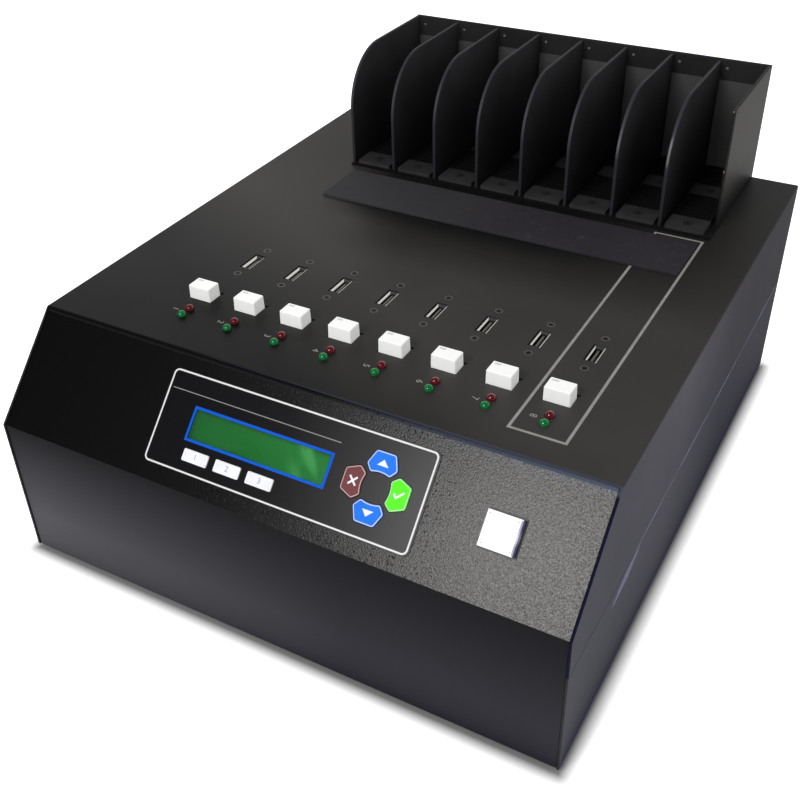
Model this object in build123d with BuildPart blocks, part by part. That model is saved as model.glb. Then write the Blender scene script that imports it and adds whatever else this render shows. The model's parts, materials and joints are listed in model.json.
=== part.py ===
"""Hard drive duplicator: a sheet-metal case with a slanted control panel and an open eight-bay drive rack.

Millimetres. +X is right seen from the front, +Y is towards the rear and +Z is up. The origin is on the
ground under the middle of the whole object. Widths named ..._x are measured from the case's left side,
and depths named ..._y from its front, because that is how the object was measured.
"""
import os
from math import cos, hypot, radians, sin

from build123d import *

os.makedirs("parts", exist_ok=True)

# Case
case_width = 330.0
case_depth = 382.0
case_height = 138.0
front_height = 88.5
slope_run = 49.0
seam_height = 66.0
sheet = 1.2
sheet_gap = 0.4
panel_inset = 0.6
flange_depth = 12.0
bend_radius = 0.9
lip_overlap = 8.0
tab_size = 12.0
foot_height = 3.0
foot_radius = 9.0
foot_margin = 24.0
foot_screw_seat = 0.9

# Columns of ports, buttons and lamps on the deck
column_count = 8
column_pitch = 30.0
column_shift = 13.0
port_y = 140.0
port_screw_spacing = 29.8
button_y = 96.7
button_shift = -1.5
red_lamp_y = 81.0
green_lamp_y = 74.2

# Data sockets
port_cut_width = 6.8
port_cut_length = 16.6
shell_width = 5.6
shell_length = 15.2
shell_wall = 0.4
shell_depth = 10.0
shell_drop = 0.3
shell_clearance = 0.05
tongue_thickness = 1.2
tongue_length = 11.4
tongue_drop = 1.6
flange_width = 9.0
flange_length = 37.0
flange_thickness = 2.5
socket_width = 8.4
socket_length = 18.4
socket_depth = 13.5

# Countersunk screws of the sockets and bay floors
csk_shank_radius = 1.25
csk_head_radius = 2.2
csk_length = 7.0
screw_clearance = 0.1
recess_width = 0.6
recess_length = 2.4
recess_depth = 0.6

# Push buttons
button_width = 14.0
button_depth = 9.8
button_rise = 7.3
button_corner = 0.9
button_taper = 1.5
button_wall = 1.2
button_skirt = 1.8
button_travel = 2.0
button_clearance = 0.5
button_relief_radius = 1.0
stem_radius = 1.92
stem_clearance = 0.08
stem_grip = 2.5
switch_width = 12.0
switch_depth = 9.4
switch_height = 7.0
switch_bore_depth = 6.0

# Lamps and the board under the deck
lamp_radius = 2.45
lamp_clearance = 0.15
lamp_collar = 0.2
board_thickness = 1.6
channel_board_drop = 14.0
channel_board_margin = 14.0
channel_board_depth = 42.0
post_radius = 3.0
deck_post_columns = (0, 3, 6)

# Drive rack
bay_count = 8
bay_pitch = 30.5
rack_shift = 12.2
rack_depth = 97.0
rack_sheet = 2.0
rack_height = 74.0
rack_corner_radius = 37.0
rack_edge_round = 0.5
rack_edge_inset = 0.1
divider_drop = 1.0
right_wall_depth = 83.0
back_hole_radius = 1.0
back_hole_offset = 5.9
back_hole_drop = 5.6
base_reach = 2.0
base_thickness = 1.5
divider_tab_length = 12.0
divider_tab_reach = 1.2
divider_tab_clearance = 0.1
divider_tab_places = (14.0, 70.0)

# Bay floors and backstops
floor_width = 24.0
floor_thickness = 2.0
floor_margin = 1.5
floor_corner = 1.0
pad_depth = 16.5
slot_width = 2.4
slot_length = 19.0
slot_pitch = 4.6
front_slot_count = 7
rear_slot_count = 5
window_margin = 1.0
backstop_thickness = 1.0
backstop_gap = 0.4
backstop_top_drop = 13.2
backstop_floor_gap = 0.4

# Rubber mat
mat_shift = 14.1
mat_width = 234.2
mat_depth = 41.0
mat_rack_gap = 10.5
mat_thickness = 1.5
mat_corner = 1.0

# Control overlay, measured across from the case's middle and up the slope
overlay_shift = 5.1
overlay_centre_up = 34.3
overlay_width = 154.6
overlay_height = 51.0
overlay_corner = 3.6
overlay_thickness = 0.5
display_shift = -10.7
display_centre_up = 34.5
display_width = 80.0
display_height = 15.4
window_clearance = 0.05
glass_border = 1.0
glass_thickness = 1.2
glass_clearance = 0.3
module_border = 2.0

# Keys
menu_key_width = 15.2
menu_key_height = 6.3
menu_key_shift = -42.0
menu_key_up = 18.7
menu_key_pitch = 19.4
menu_key_count = 3
key_corner = 0.8
ring_shift = 56.2
ring_centre_up = 34.2
ring_outer = 17.6
ring_wide = 10.4
ring_inner = 6.5
ring_hollow = 7.5
ring_outer_half = 5.2
ring_wide_half = 8.3
ring_inner_half = 5.2
ring_corner = 1.7
key_proud = 0.4
key_skirt = 0.8
key_travel = 0.5
key_clearance = 0.35
key_stem_radius = 1.2
key_stem_clearance = 0.06
key_stem_grip = 1.5
tact_size = 5.0
tact_height = 3.5
keypad_board_drop = 6.2
keypad_post_inset = 5.0

# Power button
power_side_distance = 44.2
power_centre_up = 34.0
power_cap = 17.0
power_cap_rise = 4.8
power_cap_skirt = 4.0
power_cap_bevel = 0.8
power_bezel = 19.0
power_bezel_rise = 0.5
power_wall = 0.4
power_clearance = 0.2
power_travel = 2.0
power_body_depth = 16.0
power_cavity_depth = 6.6
power_stem_radius = 2.42
power_stem_clearance = 0.08
power_stem_grip = 2.5

# Controller board
controller_width = 250.0
controller_shift = 8.0
controller_y = 92.0
controller_supply_gap = 18.0
controller_lift = 8.0
connector_width = 16.0
connector_depth = 6.0
connector_height = 9.0
connector_rear_distance = 38.0
processor_distance = 36.0
processor_size = 31.0
processor_height = 3.0
memory_distances = (45.0, 70.0)
memory_size = 14.0
memory_height = 1.4
heatsink_fins = 7
heatsink_fin_thickness = 1.5
heatsink_height = 14.0
board_post_inset = 8.0

# Data cables
cable_width = 7.0
cable_thickness = 1.6
cable_straight = 14.0
cable_bend_radius = 14.0

# Power supply
supply_shift = 0.5
supply_rear_distance = 48.0
supply_width = 215.0
supply_depth = 112.0
supply_height = 50.0
supply_wall = 1.0
supply_slot_count = 14
supply_slot_pitch = 12.0
supply_slot_width = 4.0
supply_slot_length = 60.0

# Fans
fan_size = 80.0
fan_depth = 25.0
fan_bore_radius = 38.4
fan_corner = 4.0
fan_hole_spacing = 71.5
fan_hole_radius = 2.2
fan_side_distance = 62.0
fan_centre_height = 68.0
strut_width = 4.0
strut_thickness = 3.0
hub_plate_radius = 17.0
bearing_radius = 4.0
bearing_length = 13.0
shaft_radius = 1.5
shaft_clearance = 0.05
shaft_grip = 9.0
rotor_radius = 37.0
rotor_hub_radius = 18.0
rotor_hub_wall = 1.5
rotor_depth = 18.0
rotor_gap = 1.5
blade_count = 7
blade_chord = 19.0
blade_thickness = 1.6
blade_pitch = 38.0
blade_root_depth = 1.4
panel_bore_radius = 37.5

# Finger guards and pan-head screws
guard_wire = 1.6
guard_ring_radii = (12.0, 20.0, 28.0, 36.0)
guard_tab_radius = 4.0
guard_tab_thickness = 1.0
pan_head_radius = 3.4
pan_head_height = 1.8
pan_shank_radius = 1.75
pan_shank_length = 8.0
pan_hole_clearance = 0.25
panel_screw_inset = 6.5
panel_screw_low = 25.0
panel_screw_high = 112.0

# Mains inlet and rocker switch
inlet_height = 60.0
inlet_flange_width = 31.0
inlet_flange_height = 62.0
inlet_flange_thickness = 2.0
inlet_body_width = 27.0
inlet_body_height = 50.0
inlet_body_depth = 26.0
inlet_corner = 3.0
plug_cavity_width = 24.2
plug_cavity_height = 16.8
plug_cavity_depth = 16.0
plug_cavity_corner = 3.0
plug_cavity_drop = 12.0
pin_width = 2.0
pin_height = 4.0
pin_length = 12.0
pin_spacing = 7.0
rocker_width = 18.4
rocker_height = 11.2
rocker_face = 4.0
rocker_dip = 0.8
rocker_root = 3.0
rocker_tilt = 10.0
rocker_raise = 13.0
rocker_clearance = 0.4
rocker_pin_radius = 1.2
rocker_pin_clearance = 0.05
rocker_pin_length = 1.6
rocker_pivot_drop = 2.0
rocker_opening = 13.6
rocker_cavity_depth = 9.0

# Vents in the tray
vent_count = 12
vent_pitch = 8.0
vent_width = 3.0
vent_length = 50.0
vent_x = 100.0
vent_y = 45.0

# Turns and angles
quarter_turn = 90.0
diagonal = 45.0

# Levels and places worked out from the sizes above
middle_x = case_width / 2
first_column_x = middle_x + column_shift - (column_count - 1) / 2 * column_pitch
rack_width = bay_count * bay_pitch + rack_sheet
rack_left_x = middle_x + rack_shift - rack_width / 2
rack_front_y = case_depth - rack_depth
right_wall_front_y = case_depth - right_wall_depth
base_front_y = rack_front_y - base_reach
mat_rear_y = rack_front_y - mat_rack_gap
overlay_centre_x = middle_x + overlay_shift
display_centre_x = middle_x + display_shift
menu_key_x = middle_x + menu_key_shift
ring_centre_x = middle_x + ring_shift
power_centre_x = case_width - power_side_distance
supply_y = case_depth - supply_rear_distance - supply_depth
supply_middle_x = middle_x + supply_shift
controller_depth = supply_y - controller_supply_gap - controller_y
controller_middle_x = middle_x + controller_shift
connector_y = controller_y + controller_depth - connector_rear_distance
inlet_x = middle_x
guard_ring_rise = 1.4 * guard_wire
rear_projection = guard_ring_rise + guard_wire / 2
front = -(case_depth + rear_projection) / 2
rear = front + case_depth
left = -case_width / 2
right = case_width / 2
tray_bottom = foot_height
floor_top = tray_bottom + sheet
deck_top = foot_height + case_height
deck_under = deck_top - sheet
base_top = deck_top + base_thickness
bay_floor_top = base_top + floor_thickness
rack_top = deck_top + rack_height
divider_top = rack_top - divider_drop
slope_rise = case_height - front_height
slope_length = hypot(slope_run, slope_rise)
slope_out = (0, -slope_rise / slope_length, slope_run / slope_length)
face = Plane(
    origin=(0, front, tray_bottom + front_height), x_dir=(1, 0, 0), z_dir=slope_out
).offset(-panel_inset)


def across(distance):
    """X of a place measured from the case's left side."""
    return left + distance


def back(distance):
    """Y of a place measured from the case's front."""
    return front + distance


def column(index):
    """X of a column of ports, buttons and lamps."""
    return across(first_column_x + index * column_pitch)


def wall_x(index):
    """X of the left face of rack wall number index, counted from the left wall."""
    return across(rack_left_x + index * bay_pitch)


def bay_centre(index):
    """X of the middle of a drive bay."""
    return wall_x(index) + (rack_sheet + bay_pitch) / 2


columns = [column(i) for i in range(column_count)]
buttons_x = [x + button_shift for x in columns]
bays = [bay_centre(i) for i in range(bay_count)]
port_screw_places = [
    (x, back(port_y) + side * port_screw_spacing / 2) for x in columns for side in (-1, 1)
]
floor_front = back(base_front_y) + floor_margin
floor_rear = rear - rack_sheet - backstop_thickness - floor_margin
front_slots = [floor_front + pad_depth + (i + 0.5) * slot_pitch for i in range(front_slot_count)]
rear_pad_front = floor_front + pad_depth + front_slot_count * slot_pitch
rear_slots = [rear_pad_front + pad_depth + (i + 0.5) * slot_pitch for i in range(rear_slot_count)]
front_pad_middle = floor_front + pad_depth / 2
rear_pad_middle = rear_pad_front + pad_depth / 2
pad_screw_places = [(x, y) for x in bays for y in (front_pad_middle, rear_pad_middle)]
fans_x = (across(fan_side_distance), across(case_width - fan_side_distance))
fan_z = tray_bottom + fan_centre_height
inlet_z = tray_bottom + inlet_height
panel_screw_places = [
    (side * (case_width / 2 - sheet - panel_screw_inset), tray_bottom + height)
    for side in (-1, 1)
    for height in (panel_screw_low, panel_screw_high)
]
foot_places = [
    (x, y)
    for x in (left + foot_margin, right - foot_margin)
    for y in (front + foot_margin, rear - foot_margin)
]
menu_keys_x = [across(menu_key_x + i * menu_key_pitch) for i in range(menu_key_count)]
ring_centre = (across(ring_centre_x), ring_centre_up)


# Top cover: deck and two side panels, one folded sheet
def side_outline(low):
    """Side view of the case above the height low."""
    return [
        (front, low),
        (front, tray_bottom + front_height),
        (front + slope_run, deck_top),
        (rear, deck_top),
        (rear, low),
    ]


def window_strips():
    """Each air window under the bays: its middle and its depth."""
    for x in bays:
        for slots in (front_slots, rear_slots):
            yield (x, (slots[0] + slots[-1]) / 2), slots[-1] - slots[0] + slot_width


window_width = slot_length + 2 * window_margin
seam = tray_bottom + seam_height

with BuildPart() as top_cover:
    for x in (left, right - sheet):
        with BuildSketch(Plane.YZ.offset(x)):
            with BuildLine():
                Polyline(*side_outline(seam), close=True)
            make_face()
        extrude(amount=sheet)
    with BuildSketch(Plane.XY.offset(deck_under)):
        with Locations(((left + right) / 2, (front + slope_run + rear) / 2)):
            Rectangle(case_width, case_depth - slope_run)
    extrude(amount=sheet)
    top_corners = top_cover.edges().filter_by(Axis.Y).group_by(Axis.Z)[-1]
    fillet(top_corners, radius=bend_radius)
    with BuildSketch(Plane.XZ.offset(-(rear - sheet))):
        for x, z in panel_screw_places:
            if z > seam:
                with Locations((x, z)):
                    Rectangle(tab_size + 2 * (panel_screw_inset - tab_size / 2), tab_size)
    extrude(amount=sheet)
    with BuildSketch(Plane.XZ.offset(-rear)):
        for x, z in panel_screw_places:
            if z > seam:
                with Locations((x, z)):
                    Circle(pan_shank_radius + pan_hole_clearance)
    extrude(amount=2 * sheet + sheet_gap, mode=Mode.SUBTRACT)
    with BuildSketch(Plane.XY.offset(deck_top)):
        with Locations(*[(x, back(button_y)) for x in buttons_x]):
            Rectangle(button_width + 2 * button_clearance, button_depth + 2 * button_clearance)
        relief_x = button_width / 2 + button_clearance
        relief_y = button_depth / 2 + button_clearance
        with Locations(*[(x + relief_x, back(button_y) + relief_y) for x in buttons_x]):
            Circle(button_relief_radius)
        with Locations(*[(x, back(port_y)) for x in columns]):
            Rectangle(port_cut_width, port_cut_length)
        with Locations(*[(x, back(y)) for x in columns for y in (red_lamp_y, green_lamp_y)]):
            Circle(lamp_radius + lamp_clearance)
        for middle, depth in window_strips():
            with Locations(middle):
                Rectangle(window_width, depth)
        with Locations(*pad_screw_places):
            Circle(csk_shank_radius + screw_clearance)
    extrude(amount=-sheet, mode=Mode.SUBTRACT)
    with Locations(*[(x, y, deck_top) for x, y in port_screw_places]):
        CounterSinkHole(
            radius=csk_shank_radius + screw_clearance,
            counter_sink_radius=csk_head_radius + screw_clearance,
            depth=sheet,
            counter_sink_angle=90,
        )
top_cover.part.label = "top_cover"
export_step(top_cover.part, "parts/top_cover.step")


# Front panel: one sheet, vertical below and slanted above, with flanges all round
def panel_line(inset):
    """Bend and top corner of a line that runs inset inside the case's front outline, in Y and Z."""
    run, rise = slope_run / slope_length, slope_rise / slope_length
    start = (inset * rise, front_height - inset * run)
    climb = (inset - start[0]) / run
    bend = (front + inset, tray_bottom + start[1] + climb * rise)
    top_y = slope_run - sheet_gap
    climb = (top_y - start[0]) / run
    return bend, (front + top_y, tray_bottom + start[1] + climb * rise)


def panel_band(outer, inner, low):
    """Closed outline of the band between two insets, down to the height low."""
    outer_bend, outer_top = panel_line(outer)
    inner_bend, inner_top = panel_line(inner)
    return [(outer_bend[0], low), outer_bend, outer_top, inner_top, inner_bend, (inner_bend[0], low)]


def key_outline(extra):
    """Ring key seen from above, its middle towards local -Y, grown by extra."""
    with BuildSketch(mode=Mode.PRIVATE) as outline:
        with BuildLine():
            inner_corners = (-ring_inner_half, ring_inner), (ring_inner_half, ring_inner)
            Polyline(
                inner_corners[1],
                (ring_wide_half, ring_wide),
                (ring_outer_half, ring_outer),
                (-ring_outer_half, ring_outer),
                (-ring_wide_half, ring_wide),
                inner_corners[0],
            )
            ThreePointArc(inner_corners[0], (0, ring_hollow), inner_corners[1])
        make_face()
        fillet(outline.vertices(), radius=ring_corner)
        if extra:
            offset(amount=extra)
    return outline.sketch


ring_turns = {"up_key": 0, "back_key": 90, "down_key": 180, "enter_key": 270}


def add_key_holes(extra):
    """All seven key outlines, grown by extra, added to the sketch on the face plane."""
    with Locations(*[(x, menu_key_up) for x in menu_keys_x]):
        RectangleRounded(menu_key_width + 2 * extra, menu_key_height + 2 * extra, key_corner + extra)
    for turn in ring_turns.values():
        with Locations(Location((*ring_centre, 0), (0, 0, turn))):
            add(key_outline(extra))


inner_width = case_width - 2 * (sheet + sheet_gap)
glass_width = display_width + 2 * glass_border
glass_height = display_height + 2 * glass_border
power_housing = power_cap + 2 * (power_clearance + power_wall)
display_place = (across(display_centre_x), display_centre_up)
power_place = (across(power_centre_x), power_centre_up)

with BuildPart() as front_panel:
    with BuildSketch(Plane.YZ.offset(-inner_width / 2)):
        with BuildLine():
            Polyline(*panel_band(panel_inset, panel_inset + sheet, tray_bottom), close=True)
        make_face()
    extrude(amount=inner_width)
    for x in (-inner_width / 2, inner_width / 2 - sheet):
        with BuildSketch(Plane.YZ.offset(x)):
            with BuildLine():
                low = floor_top + sheet_gap
                Polyline(*panel_band(panel_inset, panel_inset + flange_depth, low), close=True)
            make_face()
        extrude(amount=sheet)
    with BuildSketch(Plane.XY.offset(floor_top)):
        with Locations((0, front + panel_inset + flange_depth / 2)):
            Rectangle(inner_width, flange_depth)
    extrude(amount=sheet)
    with BuildSketch(Plane.XY.offset(deck_under - sheet)):
        with Locations((0, front + slope_run - sheet + flange_depth / 2)):
            Rectangle(inner_width, flange_depth)
    extrude(amount=sheet)
    with BuildSketch(face):
        with Locations(display_place):
            Rectangle(glass_width + 2 * glass_clearance, glass_height + 2 * glass_clearance)
        add_key_holes(key_clearance)
        with Locations(power_place):
            Rectangle(power_housing + 2 * power_clearance, power_housing + 2 * power_clearance)
    extrude(amount=-2 * sheet, mode=Mode.SUBTRACT)
front_panel.part.label = "front_panel"
export_step(front_panel.part, "parts/front_panel.step")


# Base tray: floor and low sides, with an inner lip behind each of the cover's side panels
lip_thickness = sheet
lip_gap = 0.1

with BuildPart() as base_tray:
    floor_start = front + panel_inset + sheet + sheet_gap
    with BuildSketch(Plane.XY.offset(tray_bottom)):
        with Locations((0, (floor_start + rear) / 2)):
            Rectangle(case_width, rear - floor_start)
    extrude(amount=sheet)
    for side in (-1, 1):
        outer_x = side * (case_width - sheet) / 2
        lip_x = side * (case_width / 2 - sheet - lip_gap - lip_thickness / 2)
        with BuildSketch(Plane.XY.offset(tray_bottom)):
            with Locations((outer_x, (front + rear) / 2)):
                Rectangle(sheet, case_depth)
        extrude(amount=seam_height - sheet_gap)
        lip_front = front + slope_run
        lip_rear = rear - sheet - tab_size
        with BuildSketch(Plane.XY.offset(seam - lip_overlap)):
            with Locations((lip_x, (lip_front + lip_rear) / 2)):
                Rectangle(lip_thickness, lip_rear - lip_front)
        extrude(amount=2 * lip_overlap)
        with BuildSketch(Plane.XY.offset(seam - lip_overlap)):
            with Locations((lip_x + side * lip_gap, (lip_front + lip_rear) / 2)):
                Rectangle(lip_thickness, lip_rear - lip_front)
        extrude(amount=lip_overlap - sheet_gap)
    with BuildSketch(Plane.XZ.offset(-(rear - sheet))):
        for x, z in panel_screw_places:
            if z < seam:
                with Locations((x, z)):
                    Rectangle(tab_size + 2 * (panel_screw_inset - tab_size / 2), tab_size)
    extrude(amount=sheet)
    with BuildSketch(Plane.XZ.offset(-rear)):
        for x, z in panel_screw_places:
            if z < seam:
                with Locations((x, z)):
                    Circle(pan_shank_radius + pan_hole_clearance)
    extrude(amount=2 * sheet + sheet_gap, mode=Mode.SUBTRACT)
    with BuildSketch(Plane.XY.offset(floor_top)):
        with Locations(*foot_places):
            Circle(pan_shank_radius + pan_hole_clearance)
        with Locations((across(vent_x), back(vent_y)), (across(case_width - vent_x), back(vent_y))):
            with GridLocations(vent_pitch, vent_length, vent_count, 1):
                SlotOverall(vent_length, vent_width, rotation=quarter_turn)
    extrude(amount=-sheet, mode=Mode.SUBTRACT)
base_tray.part.label = "base_tray"
export_step(base_tray.part, "parts/base_tray.step")


# Rear panel with two fan openings, the inlet opening and flanges on the floor and under the deck
fan_places = [(x, fan_z) for x in fans_x]
fan_hole_places = [
    (x + i * fan_hole_spacing / 2, fan_z + j * fan_hole_spacing / 2)
    for x in fans_x
    for i in (-1, 1)
    for j in (-1, 1)
]

with BuildPart() as rear_panel:
    panel_low = floor_top
    panel_high = deck_under
    with BuildSketch(Plane.XZ.offset(-rear)):
        with Locations((0, (panel_low + panel_high) / 2)):
            Rectangle(inner_width, panel_high - panel_low)
        with Locations(*fan_places):
            Circle(panel_bore_radius, mode=Mode.SUBTRACT)
        with Locations(*fan_hole_places, *panel_screw_places):
            Circle(pan_shank_radius + pan_hole_clearance, mode=Mode.SUBTRACT)
        with Locations((across(inlet_x), inlet_z)):
            Rectangle(
                inlet_body_width + sheet_gap, inlet_body_height + sheet_gap, mode=Mode.SUBTRACT
            )
    extrude(amount=sheet)
    rear_flange = inner_width - 2 * (tab_size + sheet_gap)
    for low in (floor_top, deck_under - sheet):
        with BuildSketch(Plane.XY.offset(low)):
            with Locations((0, rear - sheet - flange_depth / 2)):
                Rectangle(rear_flange, flange_depth)
        extrude(amount=sheet)
rear_panel.part.label = "rear_panel"
export_step(rear_panel.part, "parts/rear_panel.step")


# Rubber feet, each with a recess for its screw
foot_recess = foot_height - foot_screw_seat

with BuildPart() as rubber_feet:
    with BuildSketch():
        with Locations(*foot_places):
            Circle(foot_radius)
    extrude(amount=foot_height)
    fillet(rubber_feet.edges().group_by(Axis.Z)[0], radius=0.8)
    with BuildSketch():
        with Locations(*foot_places):
            Circle(pan_head_radius + pan_hole_clearance)
    extrude(amount=foot_recess, mode=Mode.SUBTRACT)
    with BuildSketch():
        with Locations(*foot_places):
            Circle(pan_shank_radius + pan_hole_clearance)
    extrude(amount=foot_height, mode=Mode.SUBTRACT)
rubber_feet.part.label = "rubber_feet"
export_step(rubber_feet.part, "parts/rubber_feet.step")


# Pan-head screws: rear panel, finger guards and feet
with BuildPart() as pan_screw:
    with BuildSketch(Plane.XZ):
        with BuildLine():
            Polyline((0, 0), (0, pan_head_height), (pan_head_radius * 0.6, pan_head_height))
            Line((pan_head_radius * 0.6, pan_head_height), (pan_head_radius, pan_head_height * 0.4))
            Polyline(
                (pan_head_radius, pan_head_height * 0.4),
                (pan_head_radius, 0),
                (pan_shank_radius, 0),
                (pan_shank_radius, -pan_shank_length),
                (0, -pan_shank_length),
                (0, 0),
            )
        make_face()
    revolve(axis=Axis.Z)
    with BuildSketch(Plane.XY.offset(pan_head_height)):
        Rectangle(pan_head_radius * 1.1, recess_width * 1.3)
        Rectangle(recess_width * 1.3, pan_head_radius * 1.1)
    extrude(amount=-pan_head_height * 0.5, mode=Mode.SUBTRACT)

with BuildPart() as pan_screws:
    facing_rear = (-quarter_turn, 0, 0)
    for x, z in panel_screw_places:
        with Locations(Location((x, rear, z), facing_rear)):
            add(pan_screw.part)
    for x, z in fan_hole_places:
        with Locations(Location((x, rear + guard_tab_thickness, z), facing_rear)):
            add(pan_screw.part)
    for x, y in foot_places:
        with Locations(Location((x, y, foot_recess), (2 * quarter_turn, 0, 0))):
            add(pan_screw.part)
pan_screws.part.label = "pan_screws"
export_step(pan_screws.part, "parts/pan_screws.step")


# Drive rack: left wall and dividers share one side view, with a large round front corner
def rack_wall(index, front_y, top, round_corner):
    """One upright wall of the rack, standing on the rack base."""
    wall_rear = rear - rack_sheet
    with BuildPart() as wall:
        with BuildSketch(Plane.YZ.offset(wall_x(index))):
            with BuildLine():
                Line((back(front_y), base_top), (back(front_y), top - round_corner))
                if round_corner:
                    TangentArc(
                        (back(front_y), top - round_corner),
                        (back(front_y) + round_corner, top),
                        tangent=(0, 1),
                    )
                Polyline(
                    (back(front_y) + round_corner, top),
                    (wall_rear, top),
                    (wall_rear, base_top),
                    (back(front_y), base_top),
                )
            make_face()
        extrude(amount=rack_sheet)
        rims = wall.edges().filter_by(Axis.X, reverse=True)
        rims = rims.filter_by(lambda edge: edge.center().Z > base_top + rack_edge_inset)
        rims = rims.filter_by(lambda edge: edge.center().Y < wall_rear - rack_edge_inset)
        fillet(rims, radius=rack_edge_round)
    return wall.part


def tab_boxes(index, clearance):
    """The two tabs under a divider, or with a clearance the slots that they stand in."""
    with BuildPart(mode=Mode.PRIVATE) as tabs:
        reach = base_thickness if clearance else divider_tab_reach
        with BuildSketch(Plane.XY.offset(base_top - reach)):
            for place in divider_tab_places:
                middle = back(rack_front_y) + place + divider_tab_length / 2
                with Locations((wall_x(index) + rack_sheet / 2, middle)):
                    Rectangle(rack_sheet + 2 * clearance, divider_tab_length + 2 * clearance)
        extrude(amount=reach)
    return tabs.part


with BuildPart() as rack_left_wall:
    add(rack_wall(0, rack_front_y, rack_top, rack_corner_radius))
rack_left_wall.part.label = "rack_left_wall"
export_step(rack_left_wall.part, "parts/rack_left_wall.step")

with BuildPart() as rack_right_wall:
    add(rack_wall(bay_count, right_wall_front_y, rack_top, 0))
rack_right_wall.part.label = "rack_right_wall"
export_step(rack_right_wall.part, "parts/rack_right_wall.step")

for number in range(1, bay_count):
    with BuildPart() as rack_divider:
        add(rack_wall(number, rack_front_y, divider_top, rack_corner_radius))
        add(tab_boxes(number, 0))
    rack_divider.part.label = f"rack_divider_{number}"
    export_step(rack_divider.part, f"parts/rack_divider_{number}.step")

rack_middle = across(rack_left_x) + rack_width / 2

back_hole_z = rack_top - back_hole_drop

with BuildPart() as rack_back_wall:
    with BuildSketch(Plane.XZ.offset(-rear)):
        with Locations((rack_middle, (base_top + rack_top) / 2)):
            Rectangle(rack_width, rack_top - base_top)
        with Locations(*[(wall_x(i) + back_hole_offset, back_hole_z) for i in range(bay_count)]):
            Circle(back_hole_radius, mode=Mode.SUBTRACT)
    extrude(amount=rack_sheet)
    top_rim = rack_back_wall.edges().filter_by(Axis.X).group_by(Axis.Z)[-1]
    fillet(top_rim, radius=rack_edge_round)
rack_back_wall.part.label = "rack_back_wall"
export_step(rack_back_wall.part, "parts/rack_back_wall.step")

with BuildPart() as rack_base:
    with BuildSketch(Plane.XY.offset(deck_top)):
        with Locations((rack_middle, (back(base_front_y) + rear) / 2)):
            Rectangle(rack_width, rear - back(base_front_y))
        for middle, depth in window_strips():
            with Locations(middle):
                Rectangle(window_width, depth, mode=Mode.SUBTRACT)
        with Locations(*pad_screw_places):
            Circle(csk_shank_radius + screw_clearance, mode=Mode.SUBTRACT)
    extrude(amount=base_thickness)
    for number in range(1, bay_count):
        add(tab_boxes(number, divider_tab_clearance), mode=Mode.SUBTRACT)
rack_base.part.label = "rack_base"
export_step(rack_base.part, "parts/rack_base.step")

with BuildPart() as bay_floors:
    with BuildSketch(Plane.XY.offset(base_top)):
        with Locations(*[(x, (floor_front + floor_rear) / 2) for x in bays]):
            RectangleRounded(floor_width, floor_rear - floor_front, floor_corner)
        with Locations(*[(x, y) for x in bays for y in front_slots + rear_slots]):
            Rectangle(slot_length, slot_width, mode=Mode.SUBTRACT)
    extrude(amount=floor_thickness)
    with Locations(*[(x, y, bay_floor_top) for x, y in pad_screw_places]):
        CounterSinkHole(
            radius=csk_shank_radius + screw_clearance,
            counter_sink_radius=csk_head_radius + screw_clearance,
            depth=floor_thickness,
            counter_sink_angle=90,
        )
bay_floors.part.label = "bay_floors"
export_step(bay_floors.part, "parts/bay_floors.step")

with BuildPart() as bay_backstops:
    stop_low = bay_floor_top + backstop_floor_gap
    stop_high = rack_top - backstop_top_drop
    with BuildSketch(Plane.XZ.offset(-(rear - rack_sheet))):
        with Locations(*[(x, (stop_low + stop_high) / 2) for x in bays]):
            Rectangle(bay_pitch - rack_sheet - 2 * backstop_gap, stop_high - stop_low)
    extrude(amount=backstop_thickness)
bay_backstops.part.label = "bay_backstops"
export_step(bay_backstops.part, "parts/bay_backstops.step")


# Rubber mat lying on the deck in front of the rack
with BuildPart() as rubber_mat:
    with BuildSketch(Plane.XY.offset(deck_top)):
        with Locations((across(middle_x + mat_shift), back(mat_rear_y - mat_depth / 2))):
            RectangleRounded(mat_width, mat_depth, mat_corner)
    extrude(amount=mat_thickness)
    fillet(rubber_mat.edges().group_by(Axis.Z)[-1], radius=0.4)
rubber_mat.part.label = "rubber_mat"
export_step(rubber_mat.part, "parts/rubber_mat.step")


# Data sockets: a moulded body with flange and tongue, and a metal shell set in it
shell_top = deck_top - shell_drop
shell_bottom = shell_top - shell_depth
socket_bottom = deck_under - socket_depth
port_places = [(x, back(port_y)) for x in columns]

with BuildPart() as port_bodies:
    with BuildSketch(Plane.XY.offset(deck_under)):
        with Locations(*port_places):
            RectangleRounded(flange_width, flange_length, flange_width / 3)
        with Locations(*port_screw_places):
            Circle(csk_shank_radius + stem_clearance, mode=Mode.SUBTRACT)
    extrude(amount=-flange_thickness)
    with BuildSketch(Plane.XY.offset(deck_under)):
        with Locations(*port_places):
            Rectangle(socket_width, socket_length)
    extrude(amount=-socket_depth)
    with BuildSketch(Plane.XY.offset(deck_under)):
        with Locations(*port_places):
            Rectangle(shell_width + 2 * shell_clearance, shell_length + 2 * shell_clearance)
    extrude(amount=-(deck_under - shell_bottom), mode=Mode.SUBTRACT)
    with BuildSketch(Plane.XY.offset(shell_bottom)):
        with Locations(*port_places):
            Rectangle(tongue_thickness, tongue_length)
    extrude(amount=shell_depth - tongue_drop)
port_bodies.part.label = "port_bodies"
export_step(port_bodies.part, "parts/port_bodies.step")

with BuildPart() as port_shells:
    with BuildSketch(Plane.XY.offset(shell_bottom)):
        with Locations(*port_places):
            Rectangle(shell_width, shell_length)
            Rectangle(
                shell_width - 2 * shell_wall, shell_length - 2 * shell_wall, mode=Mode.SUBTRACT
            )
    extrude(amount=shell_depth)
port_shells.part.label = "port_shells"
export_step(port_shells.part, "parts/port_shells.step")

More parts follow.
